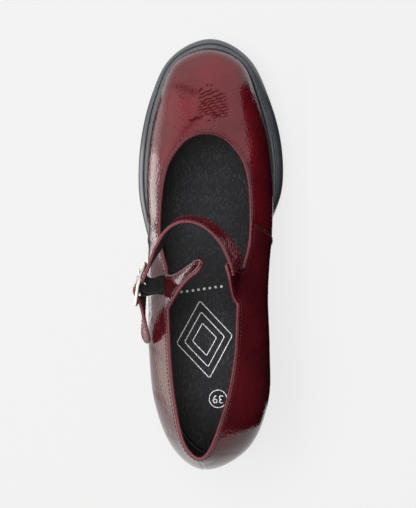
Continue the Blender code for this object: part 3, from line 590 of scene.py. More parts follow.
def polyesterThread():
    # Bonded polyester thread in the leather's colour: a soft sheen along its twist.
    material, tree, shader, place = newMaterial("polyesterThread", Roughness=0.5, IOR=1.5, Sheen_Weight=0.08,
                                                Specular_IOR_Level=0.25)
    twist = noise(tree, place, 0.4, 2.0)
    tint(tree, shader, twist, "2c070c", "470f18")
    bump(tree, shader, ((twist, 0.04, 0.5),))
    return material


def silverFoil():
    # Hot-stamped foil: thin matt silver, a little broken where the leather's grain lies under it.
    material, tree, shader, place = newMaterial("silverFoil", Metallic=0.35, Roughness=0.42)
    wearAndHighlight = noise(tree, place, 0.5, 3.0, 0.6)
    tint(tree, shader, ramp(tree, wearAndHighlight, 0.38, 0.6), "77777a", "cfcfd0")
    bump(tree, shader, ((wearAndHighlight, 0.04, 0.6),))
    return material


patent, patentStrapLit, patentVampLit, patentEdgeHighlight = (
    patentLeather(name, *kind) for name, kind in patentKinds.items())
lining, insoleSkin = liningLeather(), insoleLeather()
rubber, nickel, webbing = mouldedRubber(), nickelPlate(), elasticWebbing()
thread, foil = polyesterThread(), silverFoil()
print("materials ready")


# The upper's leathers

upperCut = {
    "lateralSeam": 37.2, "medialSeam": 82.8,  # stations of the side seams at the topline
    "slant": 5.2,                             # how far they run back on their way down, in stations
    "stationWidth": 5.9 * mm, "leather": 1.2 * mm, "liningFrom": 1.22 * mm,
    # The quarter's edge over the vamp: its height, how fast that rises and how far it takes to fade
    "overlap": 0.55 * mm, "overlapRise": 0.35 * mm, "overlapFade": 9 * mm,
    "tuck": 0.3 * mm, "tuckFrom": 0.3,                 # the vamp's edge under it: its depth and its stations
    "backSeam": 0.45 * mm, "backSeamHalf": 0.75 * mm,  # the groove down the back of the heel
}


def slanted(place, height):
    def near(seam, low, high):  # 1 at the seam, down to 0 at low and at high
        before, after = smooth((place - low) / (seam - low)), smooth((high - place) / (high - seam))
        return np.where((place < low) | (place > high), 0.0, np.where(place < seam, before, after))

    back = near(upperCut["medialSeam"], 70, 90) - near(upperCut["lateralSeam"], 30, 50)
    return place + upperCut["slant"] * (1 - np.minimum(height, 1.0)) * back


# Vamp creases in the shoe's own millimetres: from x, y to x, y, then half width and depth, troughs negative
vampCreases = (
    (-2.4, 98.0, -5.8, 95.8, 0.40, -0.18),
    (3.4, 97.6, -4.6, 93.9, 0.42, -0.25),
    (7.3, 97.0, -4.9, 91.6, 0.42, -0.28),
    (10.6, 95.1, -4.0, 89.4, 0.42, -0.29),
    (11.4, 92.8, -4.8, 87.5, 0.42, -0.29),
    (11.8, 90.7, -5.8, 85.7, 0.42, -0.29),
    (12.2, 88.5, -5.4, 83.9, 0.42, -0.29),
    (12.4, 86.6, -4.6, 82.4, 0.42, -0.28),
    (12.8, 84.6, -1.0, 81.4, 0.42, -0.28),
    (13.0, 82.8, 3.0, 80.8, 0.40, -0.25),
    (9.2, 80.6, 4.0, 79.4, 0.40, -0.23),
    (13.4, 81.0, 10.4, 80.2, 0.38, -0.18),
    (-2.0, 80.8, -11.4, 77.6, 0.80, -0.16),
    (-1.0, 100.6, 0.8, 99.9, 0.35, -0.14),
    (1.8, 100.4, 3.6, 99.8, 0.35, -0.14),
    (0.5, 78.2, 2.6, 77.7, 0.35, -0.14),
    (4.4, 77.9, 5.6, 77.6, 0.35, -0.11),
    # soft troughs to the outer side and along the throat
    (-5.0, 94.5, -22.0, 101.0, 2.20, -0.16),
    (-7.0, 90.0, -20.0, 93.5, 2.00, 0.10),
    (-4.0, 80.5, -15.0, 71.0, 2.00, -0.16),
    (-13.0, 73.0, -21.5, 56.0, 2.40, -0.14),
    (26.0, 98.0, 32.0, 84.0, 1.60, -0.10),
    (31.0, 92.0, 35.5, 74.0, 1.60, 0.10),
    (30.5, 80.0, 34.0, 60.0, 1.80, -0.10),
)
# Quarter creases as station, height to station, height, then half width in millimetres and depth
quarterCreases = (
    (18.0, 0.80, 19.5, 0.28, 2.6, -0.22), (14.5, 0.84, 16.0, 0.36, 2.2, -0.16),
    (10.0, 0.80, 11.5, 0.40, 2.4, -0.14), (24.0, 0.86, 25.5, 0.50, 1.8, -0.16),
    (6.0, 0.88, 6.8, 0.52, 1.8, -0.12), (27.5, 0.92, 29.0, 0.70, 1.6, 0.12),
    (33.0, 0.80, 33.0, 0.40, 2.4, -0.16), (101.5, 0.86, 100.0, 0.34, 2.4, -0.20),
    (105.5, 0.84, 104.2, 0.32, 2.4, -0.20), (109.0, 0.86, 108.0, 0.40, 2.0, 0.14),
    (112.5, 0.80, 111.2, 0.42, 2.2, -0.16), (96.5, 0.84, 95.5, 0.44, 2.0, -0.16),
    (92.0, 0.90, 91.0, 0.60, 1.8, 0.12), (87.0, 0.82, 88.2, 0.44, 2.2, -0.14),
    (116.0, 0.88, 115.4, 0.56, 1.8, -0.10),
)
creaseLook = {
    "thin": 1.0,                                              # half widths under this are sharp creases
    "wander": 0.28, "wanderLength": 4.6, "wanderShift": 1.7,  # how those waver, in millimetres and radians
    "sharpFull": 0.13 * mm, "wideFull": 0.16 * mm,            # the depths at which a fold's painted shade is full
    "vampShare": 0.45, "quarterShare": 0.3,                   # how much of that painted shade wide folds take
    "wallHeight": 62,                                         # millimetres to the quarters' height of 1
}


def creaseHeight(spots, rows, wander=0.0):
    total = np.zeros(spots.shape[:-1])
    for step, (x0, y0, x1, y1, width, depth) in enumerate(rows):
        start, way = np.array((x0, y0)), np.array((x1 - x0, y1 - y0))
        reach = np.linalg.norm(way)
        way = way / reach
        part = ((spots - start) @ way) / reach
        apart = (spots - start) @ np.array((-way[1], way[0]))
        if width < creaseLook["thin"]:
            turns = part * reach * 2 * math.pi / creaseLook["wanderLength"]
            apart = apart + wander * np.sin(turns + creaseLook["wanderShift"] * step)
        ends = smooth((part + 0.12) / 0.3) * smooth((1.12 - part) / 0.3)
        total += depth * ends * np.exp(-((apart / width) ** 2))
    return total * mm


def columnsBetween(*spans):  # (from, to, how many) pieces of even columns
    parts = [np.linspace(first, end, count, endpoint=False) for first, end, count in spans]
    return np.concatenate(parts + [[spans[-1][1]]])


def leatherGrid(columns, heights, creases):
    look = creaseLook
    place, height = np.meshgrid(columns, heights, indexing="ij")
    place = slanted(place, height)
    face, normal = leatherPoint(place, height), leatherNormal(place, height)
    if creases is vampCreases:
        up = smooth((normal[..., 2] - 0.25) / 0.3) * smooth((1 - height) / 0.06)
        thin = [row for row in creases if row[4] < look["thin"]]
        sharp = creaseHeight(face[..., :2] / mm, thin, look["wander"]) * up
        wide = creaseHeight(face[..., :2] / mm, [row for row in creases if row[4] >= look["thin"]]) * up
        # Painted shade in the vamp's creases, by how deep each is
        foldShade = np.clip(-sharp / look["sharpFull"], 0, 1)
        foldShade = foldShade + look["vampShare"] * np.clip(-wide / look["wideFull"], 0, 1)
        return foldShade, face + normal * (sharp + wide)[..., None], normal
    pitch, high = upperCut["stationWidth"] / mm, look["wallHeight"]
    flat = np.stack((place * pitch, height * high), axis=-1)
    rows = [(a * pitch, b * high, c * pitch, d * high, width, depth) for a, b, c, d, width, depth in creases]
    wide = creaseHeight(flat, rows) * smooth((1 - np.minimum(height, 1.0)) / 0.08)
    # Painted shade in the quarters' folds
    foldShade = look["quarterShare"] * np.clip(-wide / look["wideFull"], 0, 1)
    return foldShade, face + normal * wide[..., None], normal


def wallHeights(low, high, count):
    return low + (high - low) * np.linspace(0, 1, count)


def wallAndTab(wall, tab):  # heights up the wall and on up a tab
    return np.concatenate((wallHeights(0, 1, wall), 1 + wallHeights(0, 1, tab)[1:]))


def wallCells(columns, heights, spans):  # the cells of the wall, and above it those within the tabs' spans
    exists = np.zeros((len(columns) - 1, len(heights) - 1), bool)
    exists[:, heights[1:] < 1 + 1e-6] = True
    for low, high in spans:
        exists[(columns[:-1] >= low - 1e-6) & (columns[1:] <= high + 1e-6)] = True
    return exists


def makeVamp():
    heights = np.concatenate((wallHeights(0, 0.34, 9)[:-1], wallHeights(0.34, 0.70, 24)[:-1],
                              wallHeights(0.70, 1.0, 104)))
    columns = columnsBetween((37.0, 50, 34), (50, 70, 250), (70, 83.0, 34))
    foldShade, face, normal = leatherGrid(columns, heights, vampCreases)
    first, end = columns[0] + upperCut["tuckFrom"], columns[-1] - upperCut["tuckFrom"]
    under = -upperCut["tuck"] * (smooth((first - columns) / 0.2) + smooth((columns - end) / 0.2))[:, None]
    exists = np.ones((len(columns) - 1, len(heights) - 1), bool)
    # The vamp takes the lighter copy of the leather: painted light
    return thickSheet("vamp", face, normal, under, -upperCut["leather"], exists, patentVampLit, foldShade)


def makeQuarter(side):
    low, high = sorted((tabs[side]["front"], tabs[side]["rear"]))
    if side == "lateral":
        seam = upperCut["lateralSeam"]
        columns = columnsBetween((0, low, 110), (low, high, 70), (high, seam, 50))
    else:
        seam = upperCut["medialSeam"]
        columns = columnsBetween((seam, low, 50), (low, high, 70), (high, last["count"], 110))
    heights = wallAndTab(62, 36)
    foldShade, face, normal = leatherGrid(columns, heights, quarterCreases)
    away = np.abs(columns - seam)[:, None] * upperCut["stationWidth"]
    near = upperCut["overlap"] * (1 - np.exp(-away / upperCut["overlapRise"]))
    near = near * np.exp(-((away / upperCut["overlapFade"]) ** 2))
    back = np.minimum(columns, last["count"] - columns)[:, None] * upperCut["stationWidth"]
    near = near - upperCut["backSeam"] * np.exp(-((back / upperCut["backSeamHalf"]) ** 2))
    exists, inside = wallCells(columns, heights, [(low, high)]), -upperCut["leather"]
    # The quarters take the darker copy of the leather: painted shade on the walls
    return thickSheet(f"quarter_{side}", face, normal, near, inside, exists, patent, foldShade)


def makeLining():
    columns = columnsBetween((0, 20, 60), (20, 30, 40), (30, 90, 180), (90, 100, 40), (100, 120, 60))
    heights = wallAndTab(26, 16)
    place, height = np.meshgrid(columns, heights, indexing="ij")
    face, normal = leatherPoint(place, height), leatherNormal(place, height)
    exists = wallCells(columns, heights, ((20, 30), (90, 100)))
    near, far = -upperCut["liningFrom"], -last["wall"]
    made = thickSheet("upper_lining", face, normal, near, far, exists, lining)
    # The first and last columns are one line, so the shell is welded shut behind the heel
    shape = bmesh.new()
    shape.from_mesh(made.data)
    bmesh.ops.remove_doubles(shape, verts=shape.verts, dist=1e-6)
    seen, doubled = {}, []
    for item in shape.faces:
        key = tuple(sorted(vertex.index for vertex in item.verts))
        if key in seen:
            doubled += [item, seen[key]]
        seen[key] = item
    bmesh.ops.delete(shape, geom=doubled, context="FACES")
    shape.to_mesh(made.data)
    shape.free()
    return made


vamp = makeVamp()
quarters = [makeQuarter(side) for side in ("lateral", "medial")]
upperLining = makeLining()
print("upper leathers ready")


# The turned topline edge, which runs round the collar and both tabs

topline = {
    "wide": 1.9 * mm, "proud": 0.16 * mm, "rise": 0.35 * mm, "stitch": 2.5 * mm, "scallop": 0.05 * mm,
    "pitch": 0.42 * mm, "evened": (1.6, 3.0),  # its stations, and how many of them smooth its line and its lean
    "crest": (6, 9),                           # the faces of its section that take the lighter edge copy: a painted highlight along the rim
}


def toplinePath():
    stretch = [
        (np.linspace(0, 20, 90), 1.0), (20.0, np.linspace(1, 2, 40)), (np.linspace(20, 30, 46), 2.0),
        (30.0, np.linspace(2, 1, 40)), (np.linspace(30, 90, 300), 1.0), (90.0, np.linspace(1, 2, 40)),
        (np.linspace(90, 100, 46), 2.0), (100.0, np.linspace(2, 1, 40)), (np.linspace(100, 120, 90), 1.0),
    ]
    places, heights = [], []
    for place, height in stretch:
        count = max(np.size(place), np.size(height))
        places.append(np.broadcast_to(place, count)[:-1])
        heights.append(np.broadcast_to(height, count)[:-1])
    place, height = np.concatenate(places), np.concatenate(heights)
    return leatherPoint(place, height), leatherNormal(place, height)


def evenLoop(points, carried, pitch):  # at even distances round a closed line
    points, carried = np.vstack((points, points[:1])), np.vstack((carried, carried[:1]))
    lengths = lengthsAlong(points)
    at = np.linspace(0, lengths[-1], int(round(lengths[-1] / pitch)), endpoint=False)
    pick = lambda values: np.stack([np.interp(at, lengths, values[:, k]) for k in range(3)], axis=1)
    return pick(points), unit(pick(carried)), at


def softened(values, sigma):  # round a closed line
    reach = int(3 * sigma) + 1
    weights = np.exp(-0.5 * (np.arange(-reach, reach + 1) / sigma) ** 2)
    weights /= weights.sum()
    padded = np.concatenate((values[-reach:], values, values[:reach]))
    return np.stack([np.convolve(column, weights, mode="valid") for column in padded.T], axis=1)


def toplineFrames():
    point, normal = toplinePath()
    point, normal, at = evenLoop(point, normal, topline["pitch"])
    point = softened(point, topline["evened"][0])
    normal = unit(softened(normal, topline["evened"][1]))
    ahead = unit(np.roll(point, -1, axis=0) - np.roll(point, 1, axis=0))
    normal = unit(normal - ahead * np.sum(ahead * normal, axis=1, keepdims=True))
    edge = np.cross(normal, ahead)  # points off the leather, past its edge
    if edge[0][2] < 0:
        edge = -edge
    return point, normal, edge, at


def makeTopline():
    point, normal, edge, at = toplineFrames()
    wall, wide, proud, rise = last["wall"], topline["wide"], topline["proud"], topline["rise"]
    middle, radius = -wall / 2, wall / 2 + 0.12 * mm
    # Its section, as outward and past the edge: the outer lip, the roll over the wall, the inner lip
    section = [(-0.02 * mm, -wide), (proud * 0.7, -wide + 0.12 * mm), (proud, -wide + 0.5 * mm)]
    for angle in np.radians(np.linspace(12, 168, 11)):
        section.append((middle + (radius + 0.04 * mm) * math.cos(angle),
                        rise - radius + radius * math.sin(angle)))
    section += [(-wall - 0.14 * mm, -wide * 0.7), (-wall - 0.02 * mm, -wide * 0.95),
                (-wall + 0.5 * mm, -wide * 0.9), (-0.6 * mm, -wide * 0.95)]
    swell = topline["scallop"] * np.cos(2 * math.pi * at / topline["stitch"])
    rings = []
    for step in range(len(point)):
        ring = [point[step] + normal[step] * (n + (swell[step] if n > -0.5 * mm else 0)) + edge[step] * e
                for n, e in section]
        rings.append(ring)
    made = sweep("topline_edge", rings, patent, closed=True)
    # The crest faces take the lighter edge copy: a painted highlight line along the rim
    made.data.materials.append(patentEdgeHighlight)
    low, high = topline["crest"]
    wearAndHighlight = [int(low <= face % len(section) <= high) for face in range(len(made.data.polygons))]
    made.data.polygons.foreach_set("material_index", wearAndHighlight)
    return made


toplineEdge = makeTopline()
print("topline ready")


# Stitches: one tree lays thread along a chain of edges whose "up" attribute is the surface's normal

def stitchTree():
    tree = bpy.data.node_groups.new("stitchRow", "GeometryNodeTree")
    face = tree.interface
    face.new_socket("Geometry", in_out="INPUT", socket_type="NodeSocketGeometry")
    for name in ("Pitch", "Stitch Length", "Thread Width"):
        face.new_socket(name, in_out="INPUT", socket_type="NodeSocketFloat")
    face.new_socket("Thread", in_out="INPUT", socket_type="NodeSocketMaterial")
    face.new_socket("Geometry", in_out="OUTPUT", socket_type="NodeSocketGeometry")
    given = addNode(tree, "NodeGroupInput").outputs

    def output(kind, settings=None, **inputs):
        return addNode(tree, kind, settings, inputs).outputs[0]

    curve = output("GeometryNodeMeshToCurve", Mesh=given["Geometry"])
    curve = output("GeometryNodeResampleCurve", {"mode": "LENGTH"}, Curve=curve, Length=given["Pitch"])
    tangent = output("GeometryNodeInputTangent")
    upward = output("GeometryNodeInputNamedAttribute", {"data_type": "FLOAT_VECTOR"}, Name="up")
    turn = output("FunctionNodeAlignRotationToVector", {"axis": "X"}, Vector=tangent)
    turn = output("FunctionNodeAlignRotationToVector", {"axis": "Z", "pivot_axis": "X"},
                  Rotation=turn, Vector=upward)
    width = given["Thread Width"]
    size = output("ShaderNodeCombineXYZ", X=given["Stitch Length"], Y=width, Z=width)
    ball = output("GeometryNodeMeshUVSphere", Segments=8, Rings=5, Radius=0.5)
    ball = output("GeometryNodeSetShadeSmooth", Geometry=ball)
    laid = output("GeometryNodeInstanceOnPoints", Points=curve, Instance=ball, Rotation=turn, Scale=size)
    laid = output("GeometryNodeRealizeInstances", Geometry=laid)
    laid = output("GeometryNodeSetMaterial", Geometry=laid, Material=given["Thread"])
    addNode(tree, "NodeGroupOutput", None, {"Geometry": laid})
    return tree


stitchNodes = stitchTree()
stitching = {"Pitch": 2.5 * mm, "Stitch Length": 1.9 * mm, "Thread Width": 0.52 * mm}
threadLies = {
    "pastEdge": 0.55 * mm, "toplineLift": 0.05 * mm, "seamLift": 0.06 * mm,
    "seamRows": (0.36, 0.72),  # stations from the seam
}


def stitchRows(name, rows):  # rows of (points, normals, closed)
    points, normals, edges = [], [], []
    for line, up, closed in rows:
        base = len(points)
        points += [tuple(p) for p in line]
        normals += [tuple(n) for n in up]
        edges += [(base + i, base + i + 1) for i in range(len(line) - 1)]
        if closed:
            edges.append((base + len(line) - 1, base))
    mesh = bpy.data.meshes.new(name)
    mesh.from_pydata(points, edges, [])
    attribute = mesh.attributes.new("up", "FLOAT_VECTOR", "POINT")
    attribute.data.foreach_set("vector", np.array(normals, np.float32).ravel())
    obj = linked(name, mesh)
    modifier = obj.modifiers.new("stitchRow", "NODES")
    modifier.node_group = stitchNodes
    values = {**stitching, "Thread": thread}
    for item in stitchNodes.interface.items_tree:
        if item.item_type == "SOCKET" and item.in_out == "INPUT" and item.name in values:
            modifier[item.identifier] = values[item.name]
    bakeModifiers(obj)
    return obj


def toplineRow():
    point, normal, edge, at = toplineFrames()
    line = point - edge * (topline["wide"] + threadLies["pastEdge"])
    spot, up = ontoSurface(surfaceTree([vamp, *quarters]), line)
    up = unit(np.where(np.sum(up * normal, axis=1, keepdims=True) > 0, up, -up))
    up = unit(softened(up, 2.0))
    return spot + up * threadLies["toplineLift"], up, True


def seamRows():
    tree = surfaceTree(quarters)
    rows = []
    for seam, sign in ((upperCut["lateralSeam"], -1), (upperCut["medialSeam"], 1)):
        for apart in threadLies["seamRows"]:
            height = np.linspace(0.05, 0.93, 60)
            place = slanted(np.full(60, seam + sign * apart), height)
            normal = leatherNormal(place, height)
            spot = ontoSurface(tree, leatherPoint(place, height))[0]
            rows.append((spot + normal * threadLies["seamLift"], normal, False))
    return rows


toplineThread = stitchRows("topline_stitches", [toplineRow()])
seamThread = stitchRows("side_seam_stitches", seamRows())
print("stitches ready")


# The strap: its leather, turned at both edges, with a lining let into its inner side

strap = {
    "width": 0.0136, "thickness": 0.0018, "lean": 0.0296, "rise": 0.0110, "overlap": 0.0055, "tail": 0.0286,
    "holeRadius": 0.0011, "holePitch": 0.0085, "holes": 2, "stations": 56, "fine": 430,
    "edgeRadius": 0.75 * mm, "tipLeast": 0.30, "firstHole": 0.35, "prongHole": (0.02, 0.62),
    "buckle": (-0.4880, -0.0820, 1.135, -167.0, -40.0), "tailWay": (177.0, -18.0, 32.0),
}
strapRoute = (  # along, lean, rise, roll in degrees
    (0.112, 0.446, 0.42, 27.0), (0.286, 0.828, 0.84, 20.0), (0.438, 1.000, 1.00, 14.0),
    (0.582, 1.040, 1.05, 12.0), (0.700, 0.910, 1.05, 0.0), (0.785, 0.640, 0.94, -10.0),
)
buckle = {
    "length": 0.0235, "wire": 0.0022, "play": 0.0009, "corner": 0.0032,
    "bar": 0.0009, "prong": 0.0006, "barDrop": 0.0014, "threadPlay": 0.0002,
}
frameHalf = buckle["length"] / 2 - buckle["wire"] / 2  # to the middle of its wire
aside = (0.31, 0.17, 0.93)                             # a direction that no rod takes


def buckleFrame():
    x, y, rise, heading, climb = strap["buckle"]
    middle = np.array((x * last["ballWidth"], y * last["length"],
                       last["platform"] + rise * last["collarHeight"]))
    forward = headingVector(heading, climb)
    width = across(forward, 0.0)
    return middle, forward, width, np.cross(forward, width)


def threadedHeight(distance):
    under = -buckle["wire"] / 2 - last["gap"] - strap["thickness"] / 2
    over = (buckle["bar"] + 2 * buckle["prong"] + 2 * last["gap"] + strap["thickness"] / 2
            - buckle["barDrop"] + buckle["threadPlay"])
    wave = math.cos(math.pi * min(abs(distance), frameHalf) / frameHalf)
    return (over + under) / 2 + (over - under) / 2 * wave


def strapNodes():
    place = (tabs["medial"]["front"] + tabs["medial"]["rear"]) / 2
    end = tabEnd("medial", np.array(0.5))[0]
    base = tabPoint("medial", np.array(place), np.array(0.0))
    length = float(np.linalg.norm(end - base))
    offset = 3 * last["gap"] + strap["thickness"] / 2
    seam = unit(tabEnd("medial", np.array(1.0))[0] - tabEnd("medial", np.array(0.0))[0])
    nodes = []
    for back in (1.0, 0.5, 0.0):
        part = 1 - back * strap["overlap"] / length
        point = leatherPoint(np.array([place]), np.array([1 + part]))[0]
        normal = leatherNormal(np.array([place]), np.array([1 + part]))[0]
        nodes.append((point + normal * offset, seam))
    start = nodes[-1][0]
    middle, forward, width, outward = buckleFrame()
    places = [start]
    for along, lean, rise, tilt in strapRoute:
        point = start + (middle - start) * along
        places.append(point + np.array((0.0, lean * strap["lean"], rise * strap["rise"])))
    threaded = [middle + forward * share * frameHalf + outward * threadedHeight(share * frameHalf)
                for share in (-1.0, -0.75, -0.5, -0.25, 0.0, 0.25, 0.5, 0.75, 1.0)]
    places.append(threaded[0])
    for step, (along, lean, rise, tilt) in enumerate(strapRoute):
        nodes.append((places[step + 1], across(unit(places[step + 2] - places[step]), tilt)))
    nodes += [(place, width) for place in threaded]
    heading, climb, roll = strap["tailWay"]
    way = headingVector(heading, climb)
    for share in (0.35, 0.7, 1.0):
        nodes.append((threaded[-1] + way * strap["tail"] * share,
                      unit(width * (1 - share) + across(way, roll) * share)))
    return nodes


def strapStations(count):
    nodes = strapNodes()
    places, edges = [node[0] for node in nodes], [node[1] for node in nodes]
    distances = [0.0]
    for first, second in zip(places, places[1:]):
        distances.append(distances[-1] + float(np.linalg.norm(second - first)))
    total = distances[-1]

    def at(distance):
        index = min(max(int(np.searchsorted(distances, distance)) - 1, 0), len(places) - 2)
        width = distances[index + 1] - distances[index]
        part = min(max((distance - distances[index]) / width, 0.0), 1.0)
        slopes = []
        for i in (index, index + 1):
            low, high = max(i - 1, 0), min(i + 1, len(places) - 1)
            slopes.append((places[high] - places[low]) / (distances[high] - distances[low]) * width)
        point = cubic(places[index], slopes[0], places[index + 1], slopes[1], part)
        return point, edges[index] + (edges[index + 1] - edges[index]) * part

    stations = []
    nudge = total / 350
    for distance in np.linspace(0, total, count + 1):
        point, edge = at(distance)
        forward = unit(at(min(distance + nudge, total))[0] - at(max(distance - nudge, 0.0))[0])
        width = unit(edge - forward * edge.dot(forward))
        stations.append((point, forward, width, np.cross(forward, width), distance))
    return stations, total


def halfWidthAt(left):  # the tail's end is rounded
    near = max(1 - left / (strap["width"] / 2), 0.0)
    return strap["width"] / 2 * max(math.sqrt(1 - near**2), strap["tipLeast"])


strapGroove = {"depth": 0.10 * mm, "inset": 1.9, "half": 0.35}  # under the stitches, the last two in mm
strapBacking = {"inset": 1.7 * mm, "half": 0.30 * mm, "proud": 0.18 * mm, "least": 0.4 * mm}
# Long soft folds of the strap in millimetres: where along it, where across it, length, half width and depth
strapFolds = (
    (12, 2.5, 16, 1.2, -0.10), (20, -1.5, 18, 1.4, -0.12), (30, 3.0, 14, 1.0, 0.09),
    (34, 0.5, 20, 1.3, -0.11), (46, -2.8, 18, 1.2, -0.10), (52, 2.0, 16, 1.2, -0.10),
    (62, -0.5, 18, 1.5, 0.10), (70, 3.2, 14, 1.0, -0.08),
    (78, -2.0, 16, 1.2, -0.10), (88, 1.0, 14, 1.2, -0.08),
)


def foldHeight(along, over):
    total = 0.0
    for place, side, reach, width, depth in strapFolds:
        near = abs(along / mm - place) / (reach / 2)
        if near < 1:
            total += depth * (1 - near * near) ** 2 * math.exp(-(((over / mm - side) / width) ** 2))
    return total * mm


def makeStrap():
    stations, total = strapStations(strap["fine"])
    end, thick = stations[-1][0], strap["thickness"]
    rings, inner = [], []
    for point, forward, width, outward, along in stations:
        half = halfWidthAt(float(np.linalg.norm(end - point)))
        half += topline["scallop"] * math.cos(2 * math.pi * along / topline["stitch"])
        ring = []
        for a, b in roundedBox(half, thick / 2, min(strap["edgeRadius"], half * 0.5), 4, 9):
            if b > 0:
                over = ((half - abs(a)) / mm - strapGroove["inset"]) / strapGroove["half"]
                b += foldHeight(along, a) - strapGroove["depth"] * math.exp(-over ** 2)
            ring.append(point + width * a + outward * b)
        rings.append(ring)
        inset = max(half - strapBacking["inset"], strapBacking["least"])
        if 2 * mm < along < total - strapGroove["inset"] * mm:
            flat = roundedBox(inset, strapBacking["half"], 0.2 * mm, 2, 3)
            inner.append([point + width * a + outward * (b - thick / 2 + strapBacking["proud"])
                          for a, b in flat])
    # The strap takes a lighter copy of the leather: painted light
    leather = sweep("strap_leather", rings, patentStrapLit)
    backing = sweep("strap_lining", inner, lining)
    return leather, backing, stations, total


def rodMesh(name, start, end, radius, material=patent):
    way = unit(end - start)
    first = unit(np.cross(way, aside))
    second = np.cross(way, first)
    return sweep(name, [circle(centre, radius, first, second, 24) for centre in (start, end)], material)


def prongPath():
    middle, forward, width, outward = buckleFrame()
    bar = middle - outward * buckle["barDrop"]
    radius = buckle["bar"] + last["gap"] + buckle["prong"]
    path = []
    for angle in np.radians(np.linspace(-165, 90, 25)):
        path.append(bar + radius * (math.cos(angle) * forward + math.sin(angle) * outward))
    rest = buckle["wire"] / 2 + last["gap"] + buckle["prong"]
    path.append(middle - forward * (frameHalf + buckle["wire"] * 0.3) + outward * rest)
    return path


def holeCutters(name):
    stations, total = strapStations(strap["stations"])
    end = stations[-1][0]
    cutters = []
    for hole in range(strap["holes"]):
        distance = strap["width"] / 2 + strap["holePitch"] * (hole + strap["firstHole"])
        near = [abs(float(np.linalg.norm(item[0] - end)) - distance) for item in stations]
        point, forward, width, outward, along = stations[near.index(min(near))]
        through = outward * 2 * strap["thickness"]
        cutters.append(rodMesh(f"{name}_{hole}", point - through, point + through, strap["holeRadius"]))
    path = prongPath()
    straight = path[-1] - path[-2]
    start, end = (path[-2] + straight * share for share in strap["prongHole"])
    cutters.append(rodMesh(f"{name}_prong", start, end, strap["holeRadius"]))
    return cutters


strapLeather, strapLining, strapLine, strapTotal = makeStrap()
cutWith(strapLeather, holeCutters("leather_hole"))
cutWith(strapLining, holeCutters("lining_hole"))
for piece in (strapLeather, strapLining):
    piece.data.set_sharp_from_angle(angle=math.radians(50))


strapSewing = {  # in millimetres, but for the stations that are left out first and those of the tail
    "skipped": 6, "tailLeft": 2.4, "tailStations": 95, "tabSeams": (1.2, 4.6), "tabSeamHalf": 4.6,
}


def strapStitchRows():
    rows = []
    end = strapLine[-1][0]
    for sign in (-1, 1):
        line, ups = [], []
        for point, forward, width, outward, along in strapLine[strapSewing["skipped"]:]:
            if along <= strapTotal - strapSewing["tailLeft"] * mm:
                half = halfWidthAt(float(np.linalg.norm(end - point))) - strapGroove["inset"] * mm
                side = sign * max(half, strapBacking["least"])
                line.append(point + width * side + outward * strap["thickness"] / 2)
                ups.append(outward)
        rows.append((line, ups, False))
    for edge in strapSewing["tabSeams"]:  # these hold the strap on its tab
        point, forward, width, outward, along = min(strapLine, key=lambda item: abs(item[4] - edge * mm))
        lift = outward * strap["thickness"] / 2
        half = strapSewing["tabSeamHalf"] * mm
        line = [point + width * a * half + lift for a in np.linspace(-1, 1, 12)]
        rows.append((line, [outward] * 12, False))
    return rows


def tailStitchRows():  # the edge rows again, on the tail's inner side
    rows = []
    for line, ups, closed in strapStitchRows()[:2]:
        line, ups = (np.array(row[-strapSewing["tailStations"]:]) for row in (line, ups))
        rows.append((line - ups * strap["thickness"], -ups, closed))
    return rows


strapThread = stitchRows("strap_stitches", strapStitchRows())
tailThread = stitchRows("tail_stitches", tailStitchRows())
print("strap ready")


# Buckle, prong and elastic

def makeBuckle():
    middle, forward, width, outward = buckleFrame()
    wire = buckle["wire"]
    halfWidth = strap["width"] / 2 + buckle["play"] + wire / 2
    section = roundedBox(wire / 2, wire / 2, 0.95 * wire / 2, 5, 1)
    rings = []
    for turn in range(4):
        for share in np.arange(11) / 10:
            angle = math.pi / 2 * (turn + share)
            flat = cornerPoint(turn, share, frameHalf, halfWidth, buckle["corner"])
            centre = middle + forward * flat[0] + width * flat[1]
            side = forward * math.cos(angle) + width * math.sin(angle)
            rings.append([centre + side * p + outward * q for p, q in section])
    made = sweep("buckle", rings, nickel, closed=True, sharp=60)
    centre = middle - outward * buckle["barDrop"]
    reach = width * (halfWidth + wire * 0.1)
    return made, rodMesh("buckle_bar", centre - reach, centre + reach, buckle["bar"], nickel)


def roundRod(name, path, radius, material):
    reference, rings = np.array(aside), []
    for step, centre in enumerate(path):
        forward = unit(path[min(step + 1, len(path) - 1)] - path[max(step - 1, 0)])
        reference = unit(reference - reference.dot(forward) * forward)
        rings.append(circle(centre, radius, reference, np.cross(forward, reference), 20))
    tip, end = unit(path[-1] - path[-2]), rings[-1]
    for share in (0.4, 0.7, 0.95):  # its rounded tip
        size = math.sqrt(1 - share * share)
        rings.append([path[-1] + tip * radius * share + (point - path[-1]) * size for point in end])
    return sweep(name, rings, material)


elasticLook = {
    "width": 0.0130, "thickness": 0.0011, "seat": 0.94, "span": (0.16, 0.66), "columns": 66,
    "ribs": 6, "ribHeight": 0.26 * mm, "weaveUnit": 10,  # millimetres to one unit of its texture's place
}


